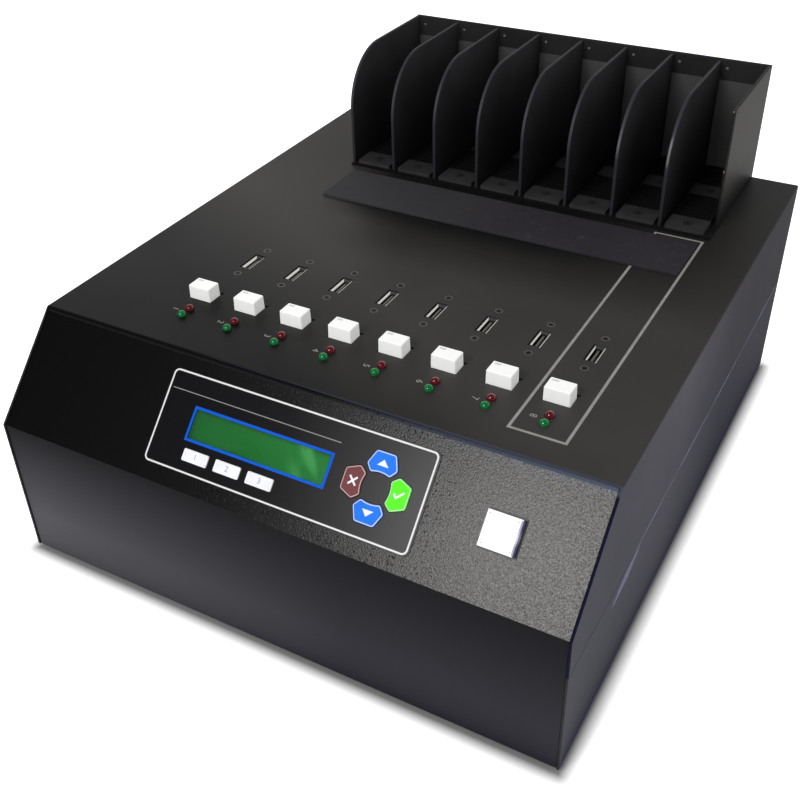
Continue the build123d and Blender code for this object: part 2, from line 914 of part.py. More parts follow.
with BuildPart() as csk_screw:
    with BuildSketch(Plane.XZ):
        with BuildLine():
            Polyline(
                (0, 0),
                (csk_head_radius, 0),
                (csk_shank_radius, csk_shank_radius - csk_head_radius),
                (csk_shank_radius, -csk_length),
                (0, -csk_length),
                close=True,
            )
        make_face()
    revolve(axis=Axis.Z)
    with BuildSketch():
        Rectangle(recess_length, recess_width)
        Rectangle(recess_width, recess_length)
    extrude(amount=-recess_depth, mode=Mode.SUBTRACT)

with BuildPart() as countersunk_screws:
    with Locations(*[(x, y, deck_top) for x, y in port_screw_places]):
        add(csk_screw.part)
    with Locations(*[(x, y, bay_floor_top) for x, y in pad_screw_places]):
        add(csk_screw.part)
countersunk_screws.part.label = "countersunk_screws"
export_step(countersunk_screws.part, "parts/countersunk_screws.step")


# Board under the deck with the button switches and the lamps
channel_board_top = deck_top - channel_board_drop
channel_board_middle = back((button_y + green_lamp_y) / 2)
switch_top = channel_board_top + switch_height
stem_bottom = switch_top - stem_grip
deck_post_places = [
    (columns[i] + column_pitch / 2, channel_board_middle + side * (channel_board_depth / 2 - post_radius))
    for i in deck_post_columns
    for side in (-1, 1)
]

with BuildPart() as channel_board:
    with BuildSketch(Plane.XY.offset(channel_board_top)):
        with Locations(((columns[0] + columns[-1]) / 2, channel_board_middle)):
            Rectangle(
                columns[-1] - columns[0] + 2 * channel_board_margin, channel_board_depth
            )
    extrude(amount=-board_thickness)
channel_board.part.label = "channel_board"
export_step(channel_board.part, "parts/channel_board.step")

with BuildPart() as channel_switches:
    with BuildSketch(Plane.XY.offset(channel_board_top)):
        with Locations(*[(x, back(button_y)) for x in buttons_x]):
            RectangleRounded(switch_width, switch_depth, 0.6)
    extrude(amount=switch_height)
    with BuildSketch(Plane.XY.offset(switch_top)):
        with Locations(*[(x, back(button_y)) for x in buttons_x]):
            Circle(stem_radius + stem_clearance)
    extrude(amount=-switch_bore_depth, mode=Mode.SUBTRACT)
channel_switches.part.label = "channel_switches"
export_step(channel_switches.part, "parts/channel_switches.step")


def lamps(lamp_y):
    """A row of round-topped lamps standing on the channel board."""
    with BuildPart(mode=Mode.PRIVATE) as lamp:
        with BuildSketch(Plane.XZ):
            with BuildLine():
                height = channel_board_drop + lamp_collar
                Polyline((0, height + lamp_radius), (0, 0), (lamp_radius, 0), (lamp_radius, height))
                RadiusArc((lamp_radius, height), (0, height + lamp_radius), -lamp_radius)
            make_face()
        revolve(axis=Axis.Z)
    with BuildPart() as row:
        with Locations(*[(x, back(lamp_y), channel_board_top) for x in columns]):
            add(lamp.part)
    return row.part


with BuildPart() as green_lamps:
    add(lamps(green_lamp_y))
green_lamps.part.label = "green_lamps"
export_step(green_lamps.part, "parts/green_lamps.step")

with BuildPart() as red_lamps:
    add(lamps(red_lamp_y))
red_lamps.part.label = "red_lamps"
export_step(red_lamps.part, "parts/red_lamps.step")


# Channel push buttons: hollow caps with a stem that slides in the switch
skirt_bottom = deck_top - button_skirt

for number, x in enumerate(buttons_x, start=1):
    with BuildPart() as channel_button:
        with BuildSketch(Plane.XY.offset(skirt_bottom)):
            with Locations((x, back(button_y))):
                RectangleRounded(button_width, button_depth, button_corner)
        extrude(amount=button_rise + button_skirt, taper=button_taper)
        fillet(channel_button.edges().group_by(Axis.Z)[-1], radius=button_corner * 0.7)
        with BuildSketch(Plane.XY.offset(skirt_bottom)):
            with Locations((x, back(button_y))):
                Rectangle(button_width - 2 * button_wall, button_depth - 2 * button_wall)
        extrude(
            amount=button_rise + button_skirt - button_wall, taper=button_taper, mode=Mode.SUBTRACT
        )
        with BuildSketch(Plane.XY.offset(stem_bottom)):
            with Locations((x, back(button_y))):
                Circle(stem_radius)
        extrude(amount=deck_top + button_rise - button_wall / 2 - stem_bottom)
    channel_button.part.label = f"channel_button_{number}"
    export_step(channel_button.part, f"parts/channel_button_{number}.step")


# Control overlay, its window and the display behind it
with BuildPart() as control_overlay:
    with BuildSketch(face):
        with Locations((across(overlay_centre_x), overlay_centre_up)):
            RectangleRounded(overlay_width, overlay_height, overlay_corner)
        with Locations(display_place):
            Rectangle(display_width, display_height, mode=Mode.SUBTRACT)
        with Locations(*[(x, menu_key_up) for x in menu_keys_x]):
            RectangleRounded(
                menu_key_width + 2 * key_clearance,
                menu_key_height + 2 * key_clearance,
                key_corner + key_clearance,
                mode=Mode.SUBTRACT,
            )
        for turn in ring_turns.values():
            with Locations(Location((*ring_centre, 0), (0, 0, turn))):
                add(key_outline(key_clearance), mode=Mode.SUBTRACT)
    extrude(amount=overlay_thickness)
control_overlay.part.label = "control_overlay"
export_step(control_overlay.part, "parts/control_overlay.step")

with BuildPart() as display_window:
    with BuildSketch(face):
        with Locations(display_place):
            Rectangle(display_width - 2 * window_clearance, display_height - 2 * window_clearance)
    extrude(amount=overlay_thickness)
display_window.part.label = "display_window"
export_step(display_window.part, "parts/display_window.step")

with BuildPart() as display_glass:
    with BuildSketch(face):
        with Locations(display_place):
            Rectangle(glass_width, glass_height)
    extrude(amount=-glass_thickness)
display_glass.part.label = "display_glass"
export_step(display_glass.part, "parts/display_glass.step")

keypad_board_top = sheet + keypad_board_drop

with BuildPart() as display_module:
    with BuildSketch(face.offset(-glass_thickness)):
        with Locations(display_place):
            Rectangle(glass_width, glass_height)
    extrude(amount=-(keypad_board_top - glass_thickness))
    with BuildSketch(face.offset(-sheet - sheet_gap)):
        with Locations(display_place):
            Rectangle(glass_width + 2 * module_border, glass_height + 2 * module_border)
    extrude(amount=-(keypad_board_drop - sheet_gap))
display_module.part.label = "display_module"
export_step(display_module.part, "parts/display_module.step")


# Keypad board with a small switch under each key
ring_key_middle = (ring_outer + ring_inner) / 2
key_stem_places = [(x, menu_key_up) for x in menu_keys_x] + [
    (
        ring_centre[0] - ring_key_middle * sin(radians(turn)),
        ring_centre[1] + ring_key_middle * cos(radians(turn)),
    )
    for turn in ring_turns.values()
]
tact_top = keypad_board_top - tact_height
overlay_place = (across(overlay_centre_x), overlay_centre_up)
keypad_post_places = [
    (
        overlay_place[0] + i * (overlay_width / 2 - keypad_post_inset),
        overlay_place[1] + j * (overlay_height / 2 - keypad_post_inset),
    )
    for i in (-1, 1)
    for j in (-1, 1)
]

with BuildPart() as keypad_board:
    with BuildSketch(face.offset(-keypad_board_top)):
        with Locations(overlay_place):
            Rectangle(overlay_width, overlay_height)
    extrude(amount=-board_thickness)
    with BuildSketch(face.offset(-keypad_board_top)):
        with Locations(*key_stem_places):
            Rectangle(tact_size, tact_size)
            Circle(key_stem_radius + key_stem_clearance, mode=Mode.SUBTRACT)
    extrude(amount=tact_height)
keypad_board.part.label = "keypad_board"
export_step(keypad_board.part, "parts/keypad_board.step")


# Keys: each has a stem that slides in its small switch
key_top = overlay_thickness + key_proud
key_low = -key_skirt
key_stem_low = -(tact_top + key_stem_grip)


def write_key(name, stem_place, draw_outline):
    """One key of the overlay, with its outline drawn by draw_outline."""
    with BuildPart() as key:
        with BuildSketch(face.offset(key_low)):
            draw_outline()
        extrude(amount=key_top - key_low)
        top_face = key.faces().sort_by(Axis((0, 0, 0), slope_out))[-1]
        fillet(top_face.edges(), radius=key_proud / 2)
        with BuildSketch(face.offset(key_low)):
            with Locations(stem_place):
                Circle(key_stem_radius)
        extrude(amount=key_stem_low - key_low)
    key.part.label = name
    export_step(key.part, f"parts/{name}.step")


def draw_menu_key(x):
    """A rectangular key with round corners."""
    with Locations((x, menu_key_up)):
        RectangleRounded(menu_key_width, menu_key_height, key_corner)


def draw_ring_key(turn):
    """A key of the ring, turned about the ring's middle."""
    with Locations(Location((*ring_centre, 0), (0, 0, turn))):
        add(key_outline(0))


for number, x in enumerate(menu_keys_x, start=1):
    write_key(f"menu_key_{number}", key_stem_places[number - 1], lambda: draw_menu_key(x))
for number, (name, turn) in enumerate(ring_turns.items()):
    write_key(name, key_stem_places[menu_key_count + number], lambda: draw_ring_key(turn))


# Power switch: square housing with a bezel, and its lit cap
power_inner = power_cap + 2 * power_clearance
power_stem_low = power_cavity_depth + power_stem_grip

with BuildPart() as power_switch:
    with BuildSketch(face.offset(-power_body_depth)):
        with Locations(power_place):
            Rectangle(power_housing, power_housing)
    extrude(amount=power_body_depth + power_bezel_rise)
    with BuildSketch(face):
        with Locations(power_place):
            RectangleRounded(power_bezel, power_bezel, power_wall)
    extrude(amount=power_bezel_rise)
    with BuildSketch(face.offset(power_bezel_rise)):
        with Locations(power_place):
            Rectangle(power_inner, power_inner)
    extrude(amount=-(power_cavity_depth + power_bezel_rise), mode=Mode.SUBTRACT)
    with BuildSketch(face.offset(-power_cavity_depth)):
        with Locations(power_place):
            Circle(power_stem_radius + power_stem_clearance)
    extrude(amount=-(power_stem_grip + 2 * power_travel), mode=Mode.SUBTRACT)
power_switch.part.label = "power_switch"
export_step(power_switch.part, "parts/power_switch.step")

with BuildPart() as power_button:
    with BuildSketch(face.offset(-power_cap_skirt)):
        with Locations(power_place):
            Rectangle(power_cap, power_cap)
    extrude(amount=power_cap_skirt + power_cap_rise)
    cap_face = power_button.faces().sort_by(Axis((0, 0, 0), slope_out))[-1]
    chamfer(cap_face.edges(), length=power_cap_bevel)
    with BuildSketch(face.offset(-power_cap_skirt)):
        with Locations(power_place):
            Circle(power_stem_radius)
    extrude(amount=-(power_stem_low - power_cap_skirt))
power_button.part.label = "power_button"
export_step(power_button.part, "parts/power_button.step")


# Controller board: connectors in line with the sockets, chips and a finned cooler
controller_top = floor_top + controller_lift + board_thickness
controller_middle = (across(controller_middle_x), back(controller_y + controller_depth / 2))
board_post_places = [
    (
        controller_middle[0] + i * (controller_width / 2 - board_post_inset),
        controller_middle[1] + j * (controller_depth / 2 - board_post_inset),
    )
    for i in (-1, 1)
    for j in (-1, 1)
]
processor_place = (controller_middle[0], back(controller_y + processor_distance))
memory_places = [
    (processor_place[0] + side * distance, processor_place[1])
    for distance in memory_distances
    for side in (-1, 1)
]

with BuildPart() as controller_board:
    with BuildSketch(Plane.XY.offset(controller_top)):
        with Locations(controller_middle):
            Rectangle(controller_width, controller_depth)
    extrude(amount=-board_thickness)
    with BuildSketch(Plane.XY.offset(controller_top)):
        with Locations(*[(x, back(connector_y)) for x in columns]):
            Rectangle(connector_width, connector_depth)
    extrude(amount=connector_height)
    with BuildSketch(Plane.XY.offset(controller_top)):
        with Locations(*memory_places):
            Rectangle(memory_size, memory_size)
    extrude(amount=memory_height)
    with BuildSketch(Plane.XY.offset(controller_top)):
        with Locations(processor_place):
            Rectangle(processor_size, processor_size)
    extrude(amount=processor_height)
    with BuildSketch(Plane.XY.offset(controller_top + processor_height)):
        with Locations(processor_place):
            fin_pitch = (processor_size - heatsink_fin_thickness) / (heatsink_fins - 1)
            with GridLocations(fin_pitch, 0, heatsink_fins, 1):
                Rectangle(heatsink_fin_thickness, processor_size)
    extrude(amount=heatsink_height)
controller_board.part.label = "controller_board"
export_step(controller_board.part, "parts/controller_board.step")


# Posts that carry the three boards
with BuildPart() as posts:
    with BuildSketch(Plane.XY.offset(channel_board_top)):
        with Locations(*deck_post_places):
            Circle(post_radius)
    extrude(amount=deck_under - channel_board_top)
    with BuildSketch(Plane.XY.offset(floor_top)):
        with Locations(*board_post_places):
            Circle(post_radius)
    extrude(amount=controller_lift)
    with BuildSketch(face.offset(-sheet)):
        with Locations(*keypad_post_places):
            Circle(post_radius * 0.8)
    extrude(amount=-keypad_board_drop)
posts.part.label = "posts"
export_step(posts.part, "parts/posts.step")


# Flat data cables from the sockets down to the controller board
connector_top = controller_top + connector_height
cable_path = [
    (back(port_y), socket_bottom),
    (back(port_y), socket_bottom - cable_straight - cable_bend_radius),
    (back(connector_y), connector_top + cable_straight + cable_bend_radius),
    (back(connector_y), connector_top),
]

with BuildPart() as data_cables:
    for x in columns:
        with BuildLine(Plane.YZ.offset(x)) as cable_line:
            FilletPolyline(*cable_path, radius=cable_bend_radius)
        path = cable_line.line
        with BuildSketch(Plane(origin=path @ 0, x_dir=(1, 0, 0), z_dir=path % 0)) as end:
            Rectangle(cable_width, cable_thickness)
        sweep(sections=end.sketch, path=path)
data_cables.part.label = "data_cables"
export_step(data_cables.part, "parts/data_cables.step")


# Power supply: a bought unit in its own slotted case
with BuildPart() as power_supply:
    supply_middle = (across(supply_middle_x), back(supply_y + supply_depth / 2))
    with BuildSketch(Plane.XY.offset(floor_top)):
        with Locations(supply_middle):
            Rectangle(supply_width, supply_depth)
    extrude(amount=supply_height)
    with BuildSketch(Plane.XY.offset(floor_top + supply_wall)):
        with Locations(supply_middle):
            Rectangle(supply_width - 2 * supply_wall, supply_depth - 2 * supply_wall)
    extrude(amount=supply_height - 2 * supply_wall, mode=Mode.SUBTRACT)
    with BuildSketch(Plane.XY.offset(floor_top + supply_height)):
        with Locations(supply_middle):
            with GridLocations(supply_slot_pitch, 0, supply_slot_count, 1):
                SlotOverall(supply_slot_length, supply_slot_width, rotation=quarter_turn)
    extrude(amount=-supply_wall, mode=Mode.SUBTRACT)
power_supply.part.label = "power_supply"
export_step(power_supply.part, "parts/power_supply.step")


# Fans: frames behind the rear panel, with the rotor's shaft in a bearing on the hub plate
fan_rear = rear - sheet
fan_front = fan_rear - fan_depth
hub_plate_front = fan_front
bearing_rear = hub_plate_front + strut_thickness + bearing_length
rotor_front = hub_plate_front + strut_thickness + rotor_gap


def write_fan_frame(name, x):
    """A square fan frame whose bearing stands on four struts."""
    with BuildPart() as fan_frame:
        with BuildSketch(Plane.XZ.offset(-fan_rear)):
            with Locations((x, fan_z)):
                RectangleRounded(fan_size, fan_size, fan_corner)
                Circle(fan_bore_radius, mode=Mode.SUBTRACT)
                with GridLocations(fan_hole_spacing, fan_hole_spacing, 2, 2):
                    Circle(fan_hole_radius, mode=Mode.SUBTRACT)
        extrude(amount=fan_depth)
        with BuildSketch(Plane.XZ.offset(-(hub_plate_front + strut_thickness))):
            with Locations((x, fan_z)):
                Circle(hub_plate_radius)
                Rectangle(2 * fan_bore_radius + strut_width, strut_width, rotation=diagonal)
                Rectangle(2 * fan_bore_radius + strut_width, strut_width, rotation=-diagonal)
        extrude(amount=strut_thickness)
        with BuildSketch(Plane.XZ.offset(-bearing_rear)):
            with Locations((x, fan_z)):
                Circle(bearing_radius)
        extrude(amount=bearing_length)
        with BuildSketch(Plane.XZ.offset(-bearing_rear)):
            with Locations((x, fan_z)):
                Circle(shaft_radius + shaft_clearance)
        extrude(amount=shaft_grip + rotor_gap, mode=Mode.SUBTRACT)
    fan_frame.part.label = name
    export_step(fan_frame.part, f"parts/{name}.step")


def write_fan_rotor(name, x):
    """A rotor with a cup hub, a shaft along Y and blades set at an angle."""
    rotor_rear = rotor_front + rotor_depth
    with BuildPart() as fan_rotor:
        with BuildSketch(Plane.XZ.offset(-rotor_rear)):
            with Locations((x, fan_z)):
                Circle(rotor_hub_radius)
        extrude(amount=rotor_depth)
        with BuildSketch(Plane.XZ.offset(-(rotor_rear - rotor_hub_wall))):
            with Locations((x, fan_z)):
                Circle(rotor_hub_radius - rotor_hub_wall)
        extrude(amount=rotor_depth, mode=Mode.SUBTRACT)
        with BuildSketch(Plane.XZ.offset(-(rotor_rear - rotor_hub_wall / 2))):
            with Locations((x, fan_z)):
                Circle(shaft_radius)
        extrude(amount=rotor_rear - rotor_hub_wall / 2 - (bearing_rear - shaft_grip))
        blade_root = rotor_hub_radius - blade_root_depth
        for blade in range(blade_count):
            angle = radians(360 / blade_count * blade)
            outward = (cos(angle), 0, sin(angle))
            root = Plane(
                origin=(x, (rotor_front + rotor_rear) / 2, fan_z), x_dir=(0, 1, 0), z_dir=outward
            ).offset(blade_root)
            with BuildSketch(root):
                Rectangle(blade_chord, blade_thickness, rotation=blade_pitch)
            extrude(amount=rotor_radius - blade_root)
    fan_rotor.part.label = name
    export_step(fan_rotor.part, f"parts/{name}.step")


for side_name, x in zip(("left", "right"), fans_x):
    write_fan_frame(f"fan_frame_{side_name}", x)
    write_fan_rotor(f"fan_rotor_{side_name}", x)


# Finger guards: wire rings on a cross of wires, with a tab at each screw
guard_arm = fan_hole_spacing / 2 * 2 ** 0.5

with BuildPart() as finger_guards:
    for x in fans_x:
        for ring_radius in guard_ring_radii:
            with BuildSketch(Plane.YZ.offset(x)):
                with Locations((rear + guard_ring_rise, fan_z + ring_radius)):
                    Circle(guard_wire / 2)
            revolve(axis=Axis((x, rear, fan_z), (0, 1, 0)))
        for turn in (diagonal, -diagonal):
            along = Plane(
                origin=(x, rear + guard_wire / 2, fan_z),
                x_dir=(0, 1, 0),
                z_dir=(cos(radians(turn)), 0, sin(radians(turn))),
            )
            with BuildSketch(along.offset(-guard_arm)):
                Rectangle(guard_wire, guard_wire)
            extrude(amount=2 * guard_arm)
    with BuildSketch(Plane.XZ.offset(-(rear + guard_tab_thickness))):
        with Locations(*fan_hole_places):
            Circle(guard_tab_radius)
    extrude(amount=guard_tab_thickness)
    with BuildSketch(Plane.XZ.offset(-(rear + guard_wire))):
        with Locations(*fan_hole_places):
            Circle(pan_head_radius + pan_hole_clearance)
    extrude(amount=guard_wire - guard_tab_thickness, mode=Mode.SUBTRACT)
    with BuildSketch(Plane.XZ.offset(-(rear + guard_wire))):
        with Locations(*fan_hole_places):
            Circle(pan_shank_radius + pan_hole_clearance)
    extrude(amount=guard_wire, mode=Mode.SUBTRACT)
finger_guards.part.label = "finger_guards"
export_step(finger_guards.part, "parts/finger_guards.step")


# Mains inlet with the rocker switch above the plug cavity
inlet_place = (across(inlet_x), inlet_z)
cavity_place = (inlet_place[0], inlet_z - plug_cavity_drop)
rocker_z = inlet_z + rocker_raise
pivot_y = rear - rocker_pivot_drop
inlet_face = rear + inlet_flange_thickness

with BuildPart() as mains_inlet:
    with BuildSketch(Plane.XZ.offset(-inlet_face)):
        with Locations(inlet_place):
            RectangleRounded(inlet_flange_width, inlet_flange_height, inlet_corner)
    extrude(amount=inlet_flange_thickness)
    with BuildSketch(Plane.XZ.offset(-rear)):
        with Locations(inlet_place):
            Rectangle(inlet_body_width, inlet_body_height)
    extrude(amount=inlet_body_depth)
    with BuildSketch(Plane.XZ.offset(-inlet_face)):
        with Locations(cavity_place):
            RectangleRounded(plug_cavity_width, plug_cavity_height, plug_cavity_corner)
    extrude(amount=plug_cavity_depth + inlet_flange_thickness, mode=Mode.SUBTRACT)
    with BuildSketch(Plane.XZ.offset(-(rear - plug_cavity_depth + pin_length))):
        with Locations(cavity_place):
            with Locations((-pin_spacing, -pin_width), (pin_spacing, -pin_width), (0, pin_width)):
                Rectangle(pin_width, pin_height)
    extrude(amount=pin_length)
    with BuildSketch(Plane.XZ.offset(-inlet_face)):
        with Locations((inlet_place[0], rocker_z)):
            Rectangle(rocker_width + 2 * rocker_clearance, rocker_opening)
    extrude(amount=rocker_cavity_depth, mode=Mode.SUBTRACT)
    pin_span = rocker_width + 2 * rocker_pin_length + 2 * rocker_clearance
    with BuildSketch(Plane.YZ.offset(inlet_place[0] - pin_span / 2)):
        with Locations((pivot_y, rocker_z)):
            Circle(rocker_pin_radius + rocker_pin_clearance)
    extrude(amount=pin_span, mode=Mode.SUBTRACT)
mains_inlet.part.label = "mains_inlet"
export_step(mains_inlet.part, "parts/mains_inlet.step")

with BuildPart() as mains_rocker:
    swing = Plane(
        origin=(inlet_place[0] - rocker_width / 2, pivot_y, rocker_z),
        x_dir=(0, cos(radians(rocker_tilt)), sin(radians(rocker_tilt))),
        z_dir=(1, 0, 0),
    )
    with BuildSketch(swing):
        with BuildLine():
            half = rocker_height / 2
            Polyline(
                (rocker_face, half),
                (rocker_face - rocker_dip, 0),
                (rocker_face, -half),
                (-rocker_root, -rocker_root),
                (-rocker_root, rocker_root),
                close=True,
            )
        make_face()
    extrude(amount=rocker_width)
    with BuildSketch(swing.offset(-rocker_pin_length)):
        Circle(rocker_pin_radius)
    extrude(amount=rocker_width + 2 * rocker_pin_length)
mains_rocker.part.label = "mains_rocker"
export_step(mains_rocker.part, "parts/mains_rocker.step")
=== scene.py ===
"""Looks of the hard drive duplicator: paint, print, plastics, lamps, stage and camera, in metres."""

import json
from math import cos, pi, radians, sin

import bmesh
import bpy
from bpy.props import FloatProperty, FloatVectorProperty, PointerProperty
from bpy.types import Operator, Panel, PropertyGroup
from mathutils import Matrix, Vector


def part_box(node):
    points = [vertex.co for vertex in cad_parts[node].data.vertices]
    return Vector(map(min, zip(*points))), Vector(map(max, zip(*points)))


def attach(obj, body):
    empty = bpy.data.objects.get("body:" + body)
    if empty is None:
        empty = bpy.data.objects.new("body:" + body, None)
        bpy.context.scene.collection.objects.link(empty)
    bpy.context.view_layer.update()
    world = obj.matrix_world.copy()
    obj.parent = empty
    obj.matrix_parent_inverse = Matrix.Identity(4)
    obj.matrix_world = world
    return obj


bl_info = {
    "name": "Hard Drive Duplicator Looks",
    "version": (1, 0, 0),
    "blender": (4, 5, 0),
    "location": "View3D > Sidebar > Duplicator",
    "description": "Paints the duplicator's sheet metal, prints its deck and panel, and lights it",
    "category": "Object",
}

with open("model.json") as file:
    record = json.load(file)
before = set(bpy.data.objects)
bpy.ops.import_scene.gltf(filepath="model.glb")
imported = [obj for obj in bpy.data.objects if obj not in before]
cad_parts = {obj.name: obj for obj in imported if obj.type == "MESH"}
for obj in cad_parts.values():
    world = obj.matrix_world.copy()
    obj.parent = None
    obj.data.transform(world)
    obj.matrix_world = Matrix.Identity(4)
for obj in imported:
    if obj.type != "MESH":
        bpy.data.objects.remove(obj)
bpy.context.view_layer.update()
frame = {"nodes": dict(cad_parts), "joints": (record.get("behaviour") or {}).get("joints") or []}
NODES = frame["nodes"]

# The case's own places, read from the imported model
CASE_LOW, CASE_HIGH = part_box("top_cover")
TRAY_LOW, TRAY_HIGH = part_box("base_tray")
DECK_TOP = CASE_HIGH.z
SEAM_BOTTOM = CASE_LOW.z
SLOPE_TOP = 0.1389
RACK_LOW, RACK_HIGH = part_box("rack_back_wall")
RACK_SHEET = RACK_HIGH.y - RACK_LOW.y
PRESS_AXES = {joint["child"]: Vector(joint["axis"]) for joint in frame["joints"]}
PANEL_OUT = -PRESS_AXES["power_button_body"].normalized()
PANEL_RIGHT = Vector((1, 0, 0))
PANEL_UP = PANEL_OUT.cross(PANEL_RIGHT)

# The photograph's camera: place and turn in the row frame, and focal length in pixels of its frame
CAMERA_PLACE = (0.2551, -0.49052, 0.4431)
CAMERA_TURN = (53.79, 1.212, 28.92)
FOCAL_PIXELS = 1073.95
PHOTO_PIXELS = 800
SENSOR_WIDTH = 36.0

BAYS = 8
INK_GRAIN = (0.0004, 0.000006)
INSIDE_PAINT = (30, 30, 31)
PAPER_WHITE = (0.93, 0.93, 0.93)
SCATTER = (0.002, 0.002, 0.002)


def srgb(red, green, blue):
    """Linear colour of a display colour given as 0 to 255."""
    return tuple(
        c / 255 / 12.92 if c <= 10 else ((c / 255 + 0.055) / 1.055) ** 2.4 for c in (red, green, blue)
    )


def shade(colour, share):
    """A colour made darker or lighter."""
    return [min(1, c * share) for c in colour]


def colour_setting(name, description, default):
    return FloatVectorProperty(
        name=name, description=description, default=default, subtype="COLOR", size=3, min=0, max=1
    )


def length_setting(name, description, default):
    return FloatProperty(
        name=name, description=description, default=default, unit="LENGTH", precision=5
    )


def share_setting(name, description, default):
    return FloatProperty(
        name=name, description=description, default=default, min=0, max=1, subtype="FACTOR"
    )


class PaintSettings(PropertyGroup):
    """Sheet-metal paints."""

    deck_colour: colour_setting("Deck", "Powder coat on the deck", srgb(45, 43, 41))
    side_colour: colour_setting("Sides", "Smooth paint on the sides", srgb(11, 11, 46))
    slope_colour: colour_setting("Slope", "Coarse powder coat on the control slope", srgb(9, 9, 11))
    front_colour: colour_setting("Front", "Smooth paint on the vertical front", srgb(19, 18, 38))
    rack_colour: colour_setting("Rack", "Black paint of the drive rack", srgb(58, 57, 60))
    # Edges lighter from wear and painted highlight
    edge_colour: colour_setting("Edges", "Rubbed paint on cut edges", srgb(66, 63, 74))
    back_colour: colour_setting("Rack back", "Paint of the rack's back wall", srgb(40, 40, 41))
    # Colour of the painted highlight along the cover's lower edge
    seam_colour: colour_setting("Seam", "Rubbed paint along the cover's lower edge", srgb(132, 134, 168))
    floor_colour: colour_setting("Bay floors", "Moulded floors of the bays", srgb(54, 53, 55))
    backstop_colour: colour_setting("Backstops", "Panels behind the bays", srgb(78, 77, 78))
    mat_colour: colour_setting("Mat", "Rubber mat", srgb(48, 45, 51))
    deck_grain: length_setting("Deck grain", "Size of the deck's powder grain", 0.0007)
    slope_grain: length_setting("Slope grain", "Size of the slope's powder grain", 0.0009)
    pit_spacing: length_setting("Pits", "Spacing of the pits in the slope's coat", 0.0024)
    # Colour of the painted reflection by the seam on the right side
    scuff_colour: colour_setting("Scuff", "Rubbed place by the seam on the right side", srgb(104, 106, 142))
    cut_colour: colour_setting("Cut edges", "Bare dark edges of the cover", srgb(8, 10, 42))


class PrintSettings(PropertyGroup):
    """Printing on the deck and on the control overlay."""

    deck_ink: colour_setting("Deck ink", "Rectangle and column numbers", srgb(150, 148, 144))
    panel_ink: colour_setting("Panel ink", "Border of the overlay", srgb(225, 225, 225))
    frame_ink: colour_setting("Display frame", "Blue frame round the display", srgb(0, 88, 212))
    legend_ink: colour_setting("Key numbers", "Pale numbers on the white keys", srgb(150, 160, 205))
    ink_height: length_setting("Ink height", "How far print stands off its surface", 0.00004)
    deck_line: length_setting("Deck line", "Width of the rectangle's line", 0.0015)
    border_line: length_setting("Border line", "Width of the overlay's border", 0.0009)
    digit_size: length_setting("Digit size", "Height of the column numbers", 0.0052)


class PlasticSettings(PropertyGroup):
    """Keys, buttons, lamps and display."""

    button_white: colour_setting("Buttons", "White channel buttons", srgb(238, 239, 236))
    key_white: colour_setting("Menu keys", "White keys", srgb(240, 241, 245))
    key_blue: colour_setting("Arrow keys", "Blue keys", srgb(34, 121, 243))
    key_maroon: colour_setting("Back key", "Maroon key", srgb(118, 66, 68))
    key_green: colour_setting("Enter key", "Green key", srgb(94, 255, 40))
    overlay_black: colour_setting("Overlay", "Printed film", srgb(17, 17, 20))
    display_green: colour_setting("Display", "Lit display", srgb(10, 98, 34))
    lamp_green: colour_setting("Green lamps", "Tinted lamp", srgb(8, 116, 56))
    lamp_red: colour_setting("Red lamps", "Tinted lamp", srgb(104, 22, 30))
    power_white: colour_setting("Power button", "Lit cap", srgb(250, 250, 255))


class StageSettings(PropertyGroup):
    """Floor and lights."""

    world_strength: FloatProperty(name="World", description="Soft light from all round", default=0.65)
    ceiling: FloatProperty(name="Ceiling", description="What gloss shows above the backdrop", default=0.02)
    back_wall: FloatProperty(name="Back wall", description="Wall behind, as gloss shows it", default=0.5)
    floor_lift: FloatProperty(name="Floor", description="White added to the seen floor", default=0.78)
    gloss_lift: share_setting("Floor in gloss", "Share of that white that gloss shows", 0.2)
    key_power: FloatProperty(name="Key light", description="Softbox over the front", default=13.0)
    fill_power: FloatProperty(name="Fill light", description="Softbox behind on the left", default=2.5)
    floor_size: length_setting("Floor", "Width of the floor", 8.0)


